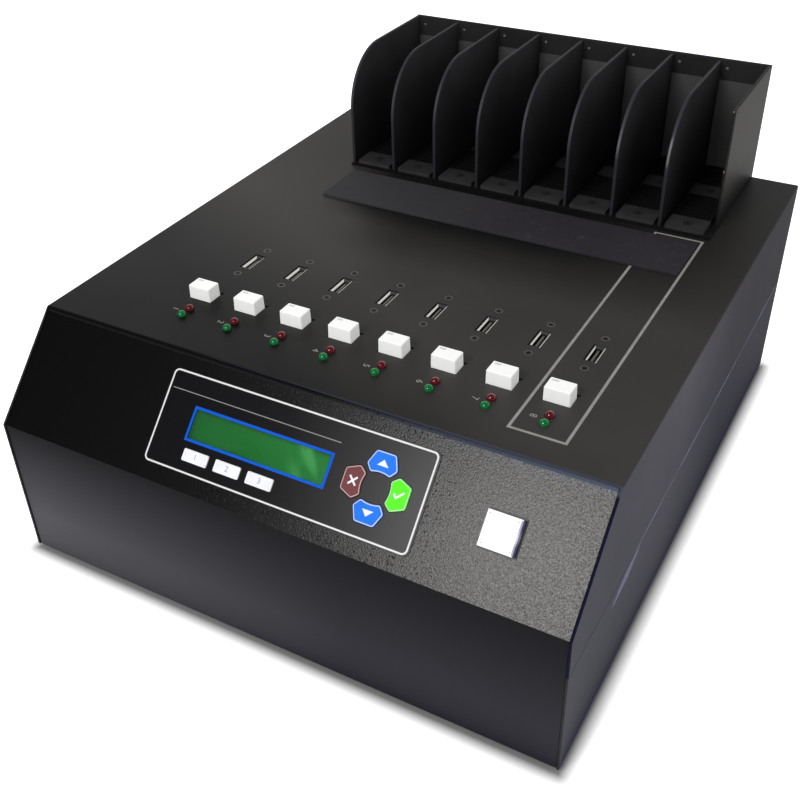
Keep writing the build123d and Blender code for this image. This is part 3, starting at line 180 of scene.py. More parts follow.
class Nodes:
    """Short ways to add nodes to a material or to the world."""

    def __init__(self, tree):
        self.tree = tree

    def add(self, kind, inputs=(), **settings):
        """A node with its settings, and with inputs given as values or as sockets to join."""
        node = self.tree.nodes.new(kind)
        for key, value in settings.items():
            setattr(node, key, value)
        for key, value in dict(inputs).items():
            if isinstance(value, bpy.types.NodeSocket):
                self.tree.links.new(value, node.inputs[key])
            else:
                node.inputs[key].default_value = value
        return node

    def math(self, operation, first, second=0.0):
        return self.add("ShaderNodeMath", {0: first, 1: second}, operation=operation).outputs[0]

    def times(self, first, *others):
        """Product of two or more numbers."""
        for other in others:
            first = self.math("MULTIPLY", first, other)
        return first

    def most(self, first, second):
        """The larger of two numbers."""
        return self.math("MAXIMUM", first, second)

    def rest(self, value):
        """What a share leaves of 1."""
        return self.math("SUBTRACT", 1.0, value)

    def apart(self, first, second):
        """How far two numbers are from each other."""
        return self.math("ABSOLUTE", self.math("SUBTRACT", first, second))

    def between(self, factor, first, second):
        """Number between two numbers."""
        return self.add("ShaderNodeMix", {0: factor, 2: first, 3: second}).outputs[0]

    def spread(self, value, low, high, to_low=0.0, to_high=1.0):
        """Value from low to high spread over another range, and held at its ends."""
        inputs = {"Value": value, "From Min": low, "From Max": high, "To Min": to_low, "To Max": to_high}
        return self.add("ShaderNodeMapRange", inputs).outputs["Result"]

    def vector(self, operation, first, second=(0, 0, 0)):
        return self.add("ShaderNodeVectorMath", {0: first, 1: second}, operation=operation).outputs[0]

    def axis_part(self, vector, axis):
        """One of a vector's X, Y and Z."""
        return self.add("ShaderNodeSeparateXYZ", {0: vector}).outputs[axis]

    def dot(self, vector, direction):
        """How far a vector reaches along a direction."""
        inputs = {0: vector, 1: tuple(direction)}
        return self.add("ShaderNodeVectorMath", inputs, operation="DOT_PRODUCT").outputs["Value"]


class Finish(Nodes):
    """A procedural material, with its grain (size, depth, detail) and soft patches (size, amount)."""

    def __init__(self, name, colour, roughness=0.5, grain=None, patches=None, **shader_values):
        self.material = bpy.data.materials.new(name)
        self.material.use_nodes = True
        super().__init__(self.material.node_tree)
        self.shader = self.tree.nodes["Principled BSDF"]
        self.material.diffuse_color = (*colour, 1)
        shader_values.update(Base_Color=(*colour, 1), Roughness=roughness)
        for socket, value in shader_values.items():
            self.shader.inputs[socket.replace("_", " ")].default_value = value
        self.place = self.add("ShaderNodeTexCoord").outputs["Object"]
        self.normal = self.add("ShaderNodeNewGeometry").outputs["Normal"]
        if grain:
            size, depth, *detail = grain
            self.bump((self.noise(size, *detail), depth))
        if patches:
            self.join(self.mottle(colour, *patches), "Base Color")

    def join(self, output, socket):
        self.tree.links.new(output, self.shader.inputs[socket])

    def at(self, axis):
        """X, Y or Z of the shaded point."""
        return self.axis_part(self.place, axis)

    def up_slope(self):
        """How far the shaded point lies up the control slope."""
        return self.dot(self.place, PANEL_UP)

    def noise(self, size, detail=2.0, roughness=0.5, stretch=None):
        """Noise with features of the given size in metres, between 0 and 1."""
        place = self.place
        if stretch:
            place = self.add("ShaderNodeMapping", {"Vector": place, "Scale": stretch}).outputs[0]
        inputs = {"Vector": place, "Scale": 1 / size, "Detail": detail, "Roughness": roughness}
        return self.add("ShaderNodeTexNoise", inputs).outputs["Fac"]

    def cells(self, size):
        """Distance to the nearest of the scattered points, one per cell of the given size."""
        inputs = {"Vector": self.place, "Scale": 1 / size}
        return self.add("ShaderNodeTexVoronoi", inputs).outputs["Distance"]

    def facing(self, direction, low, high):
        """1 where the surface faces the direction and 0 where it faces away."""
        return self.spread(self.dot(self.normal, direction), low, high)

    def blend(self, factor, first, second):
        """Colour between two colours, each a socket or three numbers."""
        inputs = {0: factor}
        for key, colour in ((6, first), (7, second)):
            inputs[key] = colour if isinstance(colour, bpy.types.NodeSocket) else (*colour, 1)
        return self.add("ShaderNodeMix", inputs, data_type="RGBA").outputs[2]

    def bump(self, *layers):
        """Bumps stacked on each other, each a height socket and its depth in metres."""
        normal = None
        for height, depth in layers:
            inputs = {"Height": height, "Distance": depth, "Strength": 1.0}
            if normal:
                inputs["Normal"] = normal
            normal = self.add("ShaderNodeBump", inputs).outputs["Normal"]
        self.join(normal, "Normal")

    def mottle(self, colour, size, amount):
        """The colour, lighter and darker in soft patches."""
        patches = self.spread(self.noise(size), 0.35, 0.65)
        return self.blend(patches, shade(colour, 1 - amount), shade(colour, 1 + amount))


def ink_finish(name, colour):
    """Thin printed ink."""
    return Finish(name, colour, 0.4, INK_GRAIN)


def dress(finish, *names):
    """Gives CAD nodes a finish."""
    for name in names:
        mesh = NODES[name].data
        mesh.materials.clear()
        mesh.materials.append(finish.material)


def dress_plain(*rows):
    """Gives CAD nodes plain finishes: name, colour, roughness, metalness, grain, patches and nodes."""
    for name, colour, roughness, metallic, grain, patches, nodes in rows:
        dress(Finish(name, colour, roughness, grain, patches, Metallic=metallic), *nodes)


def numbered(stem, count):
    """Node names that end in 1 to count."""
    return [f"{stem}_{i}" for i in range(1, count + 1)]


def top_along(name, direction):
    """How far a CAD node reaches along a direction."""
    return max(v.co.dot(direction) for v in NODES[name].data.vertices)


def middle_along(name, direction):
    """Middle of a CAD node's extent along a direction."""
    reach = [v.co.dot(direction) for v in NODES[name].data.vertices]
    return (min(reach) + max(reach)) / 2


def row_of_eight(first, last):
    """One place per bay, evenly spaced."""
    return [first + (last - first) * i / (BAYS - 1) for i in range(BAYS)]


def deck_place(x, y, z=DECK_TOP):
    """Print lying on the deck: its X to the right and its Y to the rear."""
    return Matrix.Translation((x, y, z))


def panel_place(right, up, out):
    """Print lying on the slope: its X to the right, its Y up the slope and its Z outwards."""
    turn = Matrix((PANEL_RIGHT, PANEL_UP, PANEL_OUT)).transposed().to_4x4()
    return turn @ Matrix.Translation((right, up, out))


def add_piece(name, mesh, place, finish, body):
    """A finished mesh as a piece that moves with a body."""
    mesh.transform(place)
    mesh.materials.clear()
    mesh.materials.append(finish.material)
    piece = bpy.data.objects.new(name, mesh)
    bpy.context.scene.collection.objects.link(piece)
    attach(piece, body)


def curve_mesh(name, curve):
    """Closed mesh of a filled curve or text."""
    holder = bpy.data.objects.new(name, curve)
    bpy.context.scene.collection.objects.link(holder)
    bpy.context.view_layer.update()
    evaluated = holder.evaluated_get(bpy.context.evaluated_depsgraph_get())
    mesh = bpy.data.meshes.new_from_object(evaluated)
    bpy.data.objects.remove(holder)
    shape = bmesh.new()
    shape.from_mesh(mesh)
    bmesh.ops.remove_doubles(shape, verts=shape.verts, dist=1e-6)
    bmesh.ops.translate(shape, verts=shape.verts, vec=(0, 0, -min(v.co.z for v in shape.verts)))
    bmesh.ops.recalc_face_normals(shape, faces=shape.faces)
    shape.to_mesh(mesh)
    shape.free()
    return mesh


def inked_shape(name, loops, height):
    """Flat print with the given closed outlines; an outline inside another is a hole."""
    curve = bpy.data.curves.new(name, "CURVE")
    curve.dimensions = "2D"
    curve.fill_mode = "BOTH"
    curve.extrude = height / 2
    for loop in loops:
        spline = curve.splines.new("POLY")
        spline.points.add(len(loop) - 1)
        for point, (x, y) in zip(spline.points, loop):
            point.co = (x, y, 0, 1)
        spline.use_cyclic_u = True
    return curve_mesh(name, curve)


def inked_text(name, words, size, height):
    """Flat print of a few characters, centred."""
    curve = bpy.data.curves.new(name, "FONT")
    curve.body = words
    curve.size = size
    curve.align_x = "CENTER"
    curve.align_y = "CENTER"
    curve.extrude = height / 2
    curve.resolution_u = 4
    return curve_mesh(name, curve)


def add_joined(name, meshes, finish, body="case"):
    """Several meshes as one piece, where they lie."""
    shape = bmesh.new()
    for mesh in meshes:
        shape.from_mesh(mesh)
    whole = bpy.data.meshes.new(name)
    shape.to_mesh(whole)
    shape.free()
    add_piece(name, whole, Matrix.Identity(4), finish, body)


def rectangle(width, height, x=0.0, y=0.0):
    """Corners of a rectangle about a middle."""
    return [(x + i * width / 2, y + j * height / 2) for i, j in ((-1, -1), (1, -1), (1, 1), (-1, 1))]


def rounded_rectangle(width, height, corner, steps=8):
    """Outline of a rectangle with round corners about the origin."""
    points = []
    for quarter, (i, j) in enumerate(((1, 1), (-1, 1), (-1, -1), (1, -1))):
        for step in range(steps + 1):
            angle = (quarter + step / steps) * pi / 2
            points.append(
                (
                    i * (width / 2 - corner) + corner * cos(angle),
                    j * (height / 2 - corner) + corner * sin(angle),
                )
            )
    return points


def circle(radius):
    """Outline of a circle about the origin."""
    return rounded_rectangle(2 * radius, 2 * radius, 0.999 * radius)


class Work(Operator):
    """Base of this file's operators."""

    bl_options = {"REGISTER", "UNDO"}

    def execute(self, context):
        self.make(context.scene.duplicator)
        return {"FINISHED"}


class DUPLICATOR_OT_stage(Work):
    """Floor, lights, world and the photograph's camera"""

    bl_idname = "duplicator.stage"
    bl_label = "Stage"

    def make(self, settings):
        stage = settings.stage
        self.add_camera()
        self.add_world(stage)
        self.add_floor(stage)
        target = Vector((0, 0, DECK_TOP))
        self.add_softbox("key_softbox", (-0.27, -1.44, 1.3), target, 0.62, stage.key_power)
        self.add_softbox("fill_softbox", (-1.7, 1.6, 1.15), target, 1.2, stage.fill_power)
        bpy.context.scene.view_settings.view_transform = "Standard"

    def add_camera(self):
        lens = bpy.data.cameras.new("photo_camera")
        lens.sensor_fit = "HORIZONTAL"
        lens.sensor_width = SENSOR_WIDTH
        lens.lens = FOCAL_PIXELS * SENSOR_WIDTH / PHOTO_PIXELS
        lens.clip_start = 0.01
        camera = bpy.data.objects.new("photo_camera", lens)
        camera.location = CAMERA_PLACE
        camera.rotation_euler = [radians(angle) for angle in CAMERA_TURN]
        bpy.context.scene.collection.objects.link(camera)
        bpy.context.scene.camera = camera

    def add_world(self, stage):
        """White backdrop for what is seen directly, in glass and, near the horizon, in gloss."""
        world = bpy.data.worlds.new("studio")
        world.use_nodes = True
        world.node_tree.nodes.clear()
        sky = Nodes(world.node_tree)
        rays = sky.add("ShaderNodeLightPath").outputs
        direction = sky.add("ShaderNodeTexCoord").outputs["Generated"]
        height = sky.axis_part(direction, "Z")
        backdrop = sky.spread(height, 0.0, 0.10, 1.0, stage.ceiling)
        behind = sky.spread(sky.axis_part(direction, "Y"), 0.1, 0.4, 0.0, stage.back_wall)
        wall = sky.times(behind, sky.spread(height, 0.5, 0.8, 1.0, 0.0))
        unseen = sky.between(rays["Is Glossy Ray"], stage.world_strength, sky.most(backdrop, wall))
        direct = sky.most(rays["Is Camera Ray"], rays["Is Transmission Ray"])
        inputs = {"Color": (1, 1, 1, 1), "Strength": sky.between(direct, unseen, 1.0)}
        light = sky.add("ShaderNodeBackground", inputs)
        sky.add("ShaderNodeOutputWorld", {0: light.outputs[0]})
        bpy.context.scene.world = world

    def add_floor(self, stage):
        """White floor whose seen brightness falls off close to the case, where its shadow lies; there its
        colour is painted darker as well, a painted contact shadow.
        """
        shape = bmesh.new()
        bmesh.ops.create_grid(shape, x_segments=1, y_segments=1, size=stage.floor_size / 2)
        mesh = bpy.data.meshes.new("floor")
        shape.to_mesh(mesh)
        shape.free()
        floor = bpy.data.objects.new("floor", mesh)
        bpy.context.scene.collection.objects.link(floor)
        paper = Finish("white_paper", PAPER_WHITE, 0.9, Specular_IOR_Level=0.0,
                       Emission_Color=(1, 1, 1, 1))
        centre = (CASE_LOW + CASE_HIGH) / 2
        half = (CASE_HIGH - CASE_LOW) / 2
        offset = paper.vector("SUBTRACT", paper.place, (centre.x, centre.y, 0))
        beyond = paper.vector("SUBTRACT", paper.vector("ABSOLUTE", offset), (half.x, half.y, 0))
        outside = paper.vector("MAXIMUM", beyond, (0, 0, 0))
        distance = paper.add("ShaderNodeVectorMath", {0: outside}, operation="LENGTH").outputs["Value"]
        # Painted contact shadow: darker colour and less added white within 9 mm of the case
        near = paper.spread(distance, 0.0, 0.009)
        paper.join(paper.blend(near, (0.28, 0.28, 0.28), PAPER_WHITE), "Base Color")
        rays = paper.add("ShaderNodeLightPath").outputs
        in_gloss = paper.times(rays["Is Glossy Ray"], stage.gloss_lift)
        seen = paper.most(paper.most(rays["Is Camera Ray"], in_gloss), rays["Is Transmission Ray"])
        paper.join(paper.times(near, stage.floor_lift, seen), "Emission Strength")
        mesh.materials.append(paper.material)

    def add_softbox(self, name, place, target, size, power):
        light = bpy.data.lights.new(name, "AREA")
        light.shape = "DISK"
        light.size = size
        light.energy = power
        lamp = bpy.data.objects.new(name, light)
        lamp.location = place
        lamp.rotation_euler = (target - Vector(place)).to_track_quat("-Z", "Y").to_euler()
        bpy.context.scene.collection.objects.link(lamp)


class DUPLICATOR_OT_case(Work):
    """Paint of the cover, tray, front and rear panels, and the rubber feet"""

    bl_idname = "duplicator.case"
    bl_label = "Case Paint"

    # Painted reflection: a pale band running down and forward from the seam on the right side
    scuff_rear: length_setting("Scuff start", "Y where the scuff leaves the seam", -0.094)
    scuff_front: length_setting("Scuff end", "Y where the scuff ends", -0.138)
    scuff_drop: length_setting("Scuff drop", "How far the scuff runs down", 0.010)

    def make(self, settings):
        paint = settings.paint
        dress(self.cover_paint(paint), "top_cover")
        dress(Finish("rear_paint", srgb(30, 30, 32), 0.45, (paint.deck_grain, 0.00003, 3.0), (0.06, 0.08),
                     Specular_IOR_Level=0.25), "rear_panel")
        dress(self.tray_paint(paint), "base_tray")
        dress(self.front_paint(paint), "front_panel")
        dress(Finish("foot_rubber", srgb(20, 20, 20), 0.8, (0.0006, 0.00003)), "rubber_feet")

    def cover_paint(self, paint):
        """Fine powder coat on the deck, smoother and bluer on the sides, with a painted highlight along the
        lower edge.
        """
        finish = Finish("cover_paint", paint.deck_colour, 0.45, (paint.deck_grain, 0.00003, 3.0),
                        Specular_IOR_Level=0.25)
        across, along, height = (finish.at(axis) for axis in "XYZ")
        up = finish.facing((0, 0, 1), 0.4, 0.8)
        # Sides painted darker towards the rear: painted shade
        side = finish.blend(finish.spread(along, -0.02, 0.16), finish.mottle(paint.side_colour, 0.12, 0.03),
                            shade(paint.side_colour, 0.5))
        colour = finish.blend(up, self.outside(finish, side), self.worn_deck(finish, paint, across, along))
        cut = finish.most(finish.facing((0, -1, 0), 0.8, 0.95), finish.facing(PANEL_OUT, 0.9, 0.98))
        colour = finish.blend(cut, colour, self.cut_edges(finish, paint, height, across))
        # Painted highlight: a pale ragged band along the cover's lower edge, towards the rear
        seam = finish.spread(height, SEAM_BOTTOM + 0.0010, SEAM_BOTTOM + 0.0016, 1.0, 0.0)
        ragged = finish.spread(finish.noise(0.02), 0.35, 0.6, 0.4, 1.0)
        worn_and_lit = finish.times(seam, finish.spread(along, -0.11, -0.095), ragged)
        finish.join(finish.blend(worn_and_lit, colour, paint.seam_colour), "Base Color")
        smooth = finish.spread(finish.noise(0.05), 0.3, 0.7, 0.47, 0.5)
        on_side = finish.spread(up, 0.0, 0.1, 1.0, 0.0)
        rearward = finish.times(finish.spread(along, -0.05, 0.06, 0.0, 0.17), on_side)
        dull = finish.most(finish.times(cut, 0.45), rearward)
        finish.join(finish.math("ADD", smooth, dull), "Roughness")
        return finish

    def outside(self, finish, side):
        """The side's paint outside, and dark paint inside the sheet."""
        outward = finish.times(finish.axis_part(finish.normal, "X"), finish.at("X"))
        return finish.blend(finish.spread(outward, 0.1, 0.14), srgb(*INSIDE_PAINT), side)

    def worn_deck(self, finish, paint, across, along):
        """Deck coat: darkest at its front left, palest further back where a painted sheen lies, dark again
        before the rack and the mat where the dark rack's reflection is painted.
        """
        slanting = finish.math("ADD", finish.times(across, 0.6), along)
        # Painted reflection of the dark rack on the deck, just before the rack and the mat
        rack_reflection = finish.times(
            finish.spread(along, -0.02, 0.015),
            finish.spread(across, -0.07, -0.03),
            finish.spread(across, 0.07, 0.15, 0.55, 0.28),
        )
        reflection_by_mat = finish.times(
            finish.spread(along, 0.018, 0.036),
            finish.spread(across, -0.10, -0.075),
            finish.spread(across, 0.05, 0.10, 0.75, 0.2),
        )
        # Painted sheen, rising from the deck's front left
        sheen_and_wear = finish.times(
            finish.spread(slanting, -0.150, -0.060),
            finish.rest(rack_reflection),
            finish.spread(along, 0.04, 0.1, 1.0, 0.8),
            finish.rest(reflection_by_mat),
        )
        pale = finish.mottle(shade(paint.deck_colour, 1.6), 0.05, 0.08)
        return finish.blend(sheen_and_wear, shade(paint.deck_colour, 0.06), pale)

    def cut_edges(self, finish, paint, height, across):
        """Dark edges on the right, and paint like the panel beside them along the deck and on the left; the
        deck's front edge turns pale blue to the right, a painted highlight.
        """
        sides = finish.blend(finish.spread(across, 0.1, 0.12), srgb(40, 41, 38), paint.cut_colour)
        along_deck = finish.spread(height, DECK_TOP - 0.004, DECK_TOP - 0.003)
        deck_edge_glint = finish.blend(finish.spread(across, -0.07, 0.1), srgb(12, 12, 14), srgb(62, 68, 82))
        return finish.blend(along_deck, sides, deck_edge_glint)

    def tray_paint(self, paint):
        """Smooth satin paint of the tray, duller toward the rear."""
        finish = Finish("tray_paint", paint.side_colour, 0.45, (0.0009, 0.000012), Specular_IOR_Level=0.22)
        # Bluer towards the bottom bend: painted reflection
        low = finish.spread(finish.at("Z"), TRAY_LOW.z + 0.001, TRAY_LOW.z + 0.008, 0.8, 0.0)
        side = finish.blend(low, finish.mottle(paint.side_colour, 0.12, 0.03), srgb(16, 14, 84))
        colour = self.outside(finish, side)
        # Painted reflection by the seam on the right side
        finish.join(finish.blend(self.scuff(finish), colour, paint.scuff_colour), "Base Color")
        finish.join(finish.spread(finish.at("Y"), -0.05, 0.06, 0.45, 0.62), "Roughness")
        return finish

    def scuff(self, finish):
        """1 on the painted reflection, a pale band that runs down and forward from the seam on the right
        side.
        """
        along = finish.spread(finish.at("Y"), self.scuff_rear, self.scuff_front)
        line = finish.math("SUBTRACT", SEAM_BOTTOM - 0.001, finish.times(along, self.scuff_drop))
        away = finish.apart(finish.at("Z"), line)
        swell = finish.math("SINE", finish.times(along, pi))
        ragged = finish.times(finish.noise(0.004, 4.0, 0.7, (1.0, 0.5, 1.6)), 0.0085)
        inside = finish.spread(finish.math("SUBTRACT", finish.times(swell, ragged), away), 0.0, 0.0008)
        return finish.times(inside, finish.facing((1, 0, 0), 0.9, 0.95))

    def front_paint(self, paint):
        """Coarse pitted powder coat on the slope and smooth paint on the vertical front, with painted light:
        a sheen and bright specks towards the slope's right, a pale blue highlight along its top, and a front
        painted lighter low on the left and darker above.
        """
        finish = Finish("front_paint", paint.slope_colour, 0.4, Specular_IOR_Level=0.32)
        across, height = finish.at("X"), finish.at("Z")
        strip = finish.spread(height, SLOPE_TOP - 0.0005, SLOPE_TOP)
        slope = finish.most(finish.facing(PANEL_OUT, 0.9, 0.97), strip)
        pitted = finish.times(finish.spread(across, -0.04, 0.02), finish.spread(across, 0.07, 0.1, 1.0, 0.1))
        hole = finish.spread(finish.cells(paint.pit_spacing), 0.1, 0.3, 1.0, 0.0)
        pits = finish.rest(finish.times(hole, pitted))
        peel = finish.noise(paint.slope_grain, 2.0, 0.6)
        specks = finish.spread(peel, 0.36, 0.68)
        # Painted sheen: the slope's colour grows lighter and speckled towards the right; its top strip stays
        # nearly black on the left
        sheen_side = finish.spread(across, 0.01, 0.165)
        light = finish.times(finish.most(specks, strip), sheen_side)
        # Painted highlight, pale blue, along the top of the slope on its right
        top = finish.times(finish.spread(height, SLOPE_TOP - 0.0040, SLOPE_TOP),
                           finish.spread(across, -0.02, 0.06))
        slope_sheen_colour = finish.blend(top, srgb(84, 77, 70), srgb(80, 88, 108))
        left = finish.blend(strip, paint.slope_colour, srgb(4, 4, 5))
        sheen_slope = finish.blend(light, finish.blend(sheen_side, left, srgb(20, 18, 17)), slope_sheen_colour)
        sloped = finish.blend(pits, shade(paint.slope_colour, 0.5), sheen_slope)
        # Vertical front: painted light low on the left, painted shade to the right and above
        upper = finish.spread(height, 0.030, 0.090)
        shaded_front = shade(paint.front_colour, 0.7)
        low = finish.blend(finish.spread(across, -0.15, 0.05), srgb(66, 65, 71), shaded_front)
        upright = finish.blend(upper, low, shade(paint.front_colour, 0.25))
        finish.join(finish.blend(slope, upright, sloped), "Base Color")
        relief = finish.math("ADD", peel, finish.times(pits, 0.25))
        finish.bump((finish.times(relief, finish.spread(slope, 0.0, 1.0, 0.1, 1.0)), 0.00008))
        dulled = finish.times(finish.rest(specks), sheen_side, 0.09)
        dulled = finish.most(dulled, finish.times(strip, finish.spread(across, -0.04, 0.06, 0.74, 0.5)))
        rough_slope = finish.math("ADD", finish.spread(pits, 0.0, 1.0, 0.7, 0.24), dulled)
        rough_front = finish.spread(upper, 0.0, 1.0, 0.5, 0.85)
        finish.join(finish.between(slope, rough_front, rough_slope), "Roughness")
        return finish


class DUPLICATOR_OT_rack(Work):
    """Paint of the drive rack, its floors and backstops, and the mat"""

    bl_idname = "duplicator.rack"
    bl_label = "Drive Rack"

    pad_depth: length_setting("Pads", "Depth of a screw pad of a bay's floor", 0.0165)
    rear_pad: length_setting("Rear pad", "Middle of the rear pad from the floor's front", 0.05695)
    # Heights of the two painted highlights on the right wall's front edge
    upper_spot: length_setting("Upper spot", "Height of the upper worn spot", 0.2138)
    lower_spot: length_setting("Lower spot", "Height of the lower worn spot", 0.1775)
    plug_radius: length_setting("Plug", "Radius of a plug in the back wall", 0.00098)
    plug_offset: length_setting("Plug place", "First plug from the wall's left end", 0.0059)
    plug_drop: length_setting("Plug drop", "Plugs below the wall's top", 0.0056)

    def make(self, settings):
        paint = settings.paint
        upright = self.plate_paint("rack_plate_paint", paint, (1, 0, 0), paint.rack_colour, paint.edge_colour)
        dress(upright, "rack_left_wall", *numbered("rack_divider", 7))
        dress(self.worn_wall_paint(paint), "rack_right_wall")
        back = self.plate_paint("rack_back_paint", paint, (0, 1, 0), paint.back_colour, srgb(*INSIDE_PAINT))
        dress(back, "rack_back_wall")
        base = self.plate_paint("rack_base_paint", paint, (0, 0, 1), srgb(34, 34, 36), srgb(24, 24, 27))
        dress(base, "rack_base")
        self.add_back_plugs()
        dress(self.floor_plastic(paint), "bay_floors")
        dress(Finish("backstop_paint", paint.backstop_colour, 0.5, (0.0009, 0.00002), (0.03, 0.12),
                     Specular_IOR_Level=0.4), "bay_backstops")
        dress(self.mat_rubber(paint), "rubber_mat")

    def floor_plastic(self, paint):
        """Moulded plastic, paler on the two screw pads than on the ribs."""
        finish = Finish("bay_floor_plastic", paint.floor_colour, 0.45, (0.0006, 0.00002),
                        Specular_IOR_Level=0.35)
        behind = finish.math("SUBTRACT", finish.at("Y"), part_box("bay_floors")[0].y)
        front_pad = finish.spread(behind, self.pad_depth - 0.0008, self.pad_depth, 1.0, 0.0)
        from_pad = finish.apart(behind, self.rear_pad)
        rear_pad = finish.spread(from_pad, self.pad_depth / 2 - 0.0008, self.pad_depth / 2, 1.0, 0.0)
        pad = finish.mottle(paint.floor_colour, 0.01, 0.1)
        finish.join(finish.blend(finish.most(front_pad, rear_pad), srgb(17, 17, 18), pad), "Base Color")
        return finish

    def worn_wall_paint(self, paint):
        """Browner paint of the short right wall, painted darker at its foot as shade, with a dark front edge
        that carries two painted highlights.
        """
        finish = Finish("rack_right_paint", paint.rack_colour, 0.5, (paint.slope_grain, 0.00004),
                        Specular_IOR_Level=0.18)
        height = finish.at("Z")
        # Two painted highlights on the front edge
        spots = [finish.spread(finish.apart(height, spot), 0.0002, 0.0009, 1.0, 0.0)
                 for spot in (self.upper_spot, self.lower_spot)]
        edge = finish.blend(finish.most(*spots), srgb(12, 12, 14), srgb(150, 146, 142))
        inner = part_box("rack_right_wall")[0].x
        inner_edge = finish.spread(finish.at("X"), inner + 0.0007, inner + 0.0009, 1.0, 0.0)
        # Darker at the wall's foot: painted shade
        low = finish.spread(height, RACK_LOW.z, RACK_LOW.z + 0.03)
        face = finish.blend(low, srgb(26, 25, 24), finish.mottle(srgb(47, 44, 40), 0.0016, 0.25))
        front_edge = finish.times(finish.facing((0, -1, 0), 0.8, 0.95), inner_edge)
        finish.join(finish.blend(front_edge, face, edge), "Base Color")
        return finish

    def add_back_plugs(self):
        """Grey plug in each of the eight small holes of the back wall."""
        plugs = []
        for i in range(BAYS):
            disc = inked_shape("plug", [circle(self.plug_radius)], 0.001)
            x = RACK_LOW.x + self.plug_offset + i * (RACK_HIGH.x - RACK_LOW.x - RACK_SHEET) / BAYS
            place = Matrix.Translation((x, RACK_LOW.y + 0.0016, RACK_HIGH.z - self.plug_drop))
            disc.transform(place @ Matrix.Rotation(pi / 2, 4, "X"))
            plugs.append(disc)
        grey = Finish("plug_grey", srgb(124, 124, 126), 0.5, (0.0005, 0.00001))
        add_joined("back_wall_plugs", plugs, grey)

    def plate_paint(self, name, paint, face_axis, colour, edge_colour):
        """Black paint of a flat plate, lighter on its edges from wear and painted highlight, less so where
        they face up, with painted shade where they face down and low on the plate, and a painted gleam on
        rounded front edges.
        """
        finish = Finish(name, colour, 0.5, (paint.deck_grain, 0.00002), Specular_IOR_Level=0.22)
        flatness = finish.math("ABSOLUTE", finish.dot(finish.normal, face_axis))
        sheen_and_wear = finish.spread(finish.noise(0.012, 3.0), 0.35, 0.6, 0.5, 1.0)
        edge = finish.times(finish.spread(flatness, 0.5, 0.9, 1.0, 0.0), sheen_and_wear)
        upper = finish.blend(finish.facing((0, 0, 1), 0.3, 0.95), edge_colour, shade(edge_colour, 0.6))
        # Edges facing down darker: painted shade
        worn_and_lit = finish.blend(finish.facing((0, 0, 1), -0.1, 0.3), shade(edge_colour, 0.35), upper)
        # Painted highlight on the rounded front edges, stronger to the right
        gleam = finish.times(finish.facing((0, -0.95, 0.31), 0.965, 0.996),
                             finish.spread(finish.at("X"), 0.05, 0.11, 0.0, 0.5))
        worn_and_lit = finish.blend(gleam, worn_and_lit, srgb(176, 174, 178))
        # Plates darker towards the bottom: painted shade
        higher = finish.spread(finish.at("Z"), RACK_LOW.z + 0.005, RACK_HIGH.z - 0.012)
        face = finish.blend(higher, shade(colour, 0.45), finish.mottle(colour, 0.04, 0.15))
        finish.join(finish.blend(edge, face, worn_and_lit), "Base Color")
        return finish

    def mat_rubber(self, paint):
        """Dull rubber with a fine woven print and dust."""
        finish = Finish("mat_rubber", paint.mat_colour, 0.85, Specular_IOR_Level=0.25)
        dusty = finish.spread(finish.noise(0.006, 4.0, 0.7), 0.55, 0.75)
        rubber = finish.mottle(paint.mat_colour, 0.05, 0.08)
        colour = finish.blend(dusty, rubber, shade(paint.mat_colour, 1.5))
        leftmost = finish.spread(finish.at("X"), -0.11, 0.03, 0.7, 0.0)
        finish.join(finish.blend(leftmost, colour, srgb(66, 66, 67)), "Base Color")
        finish.bump((finish.noise(0.0005), 0.00004), (finish.noise(0.008), 0.00008))
        return finish


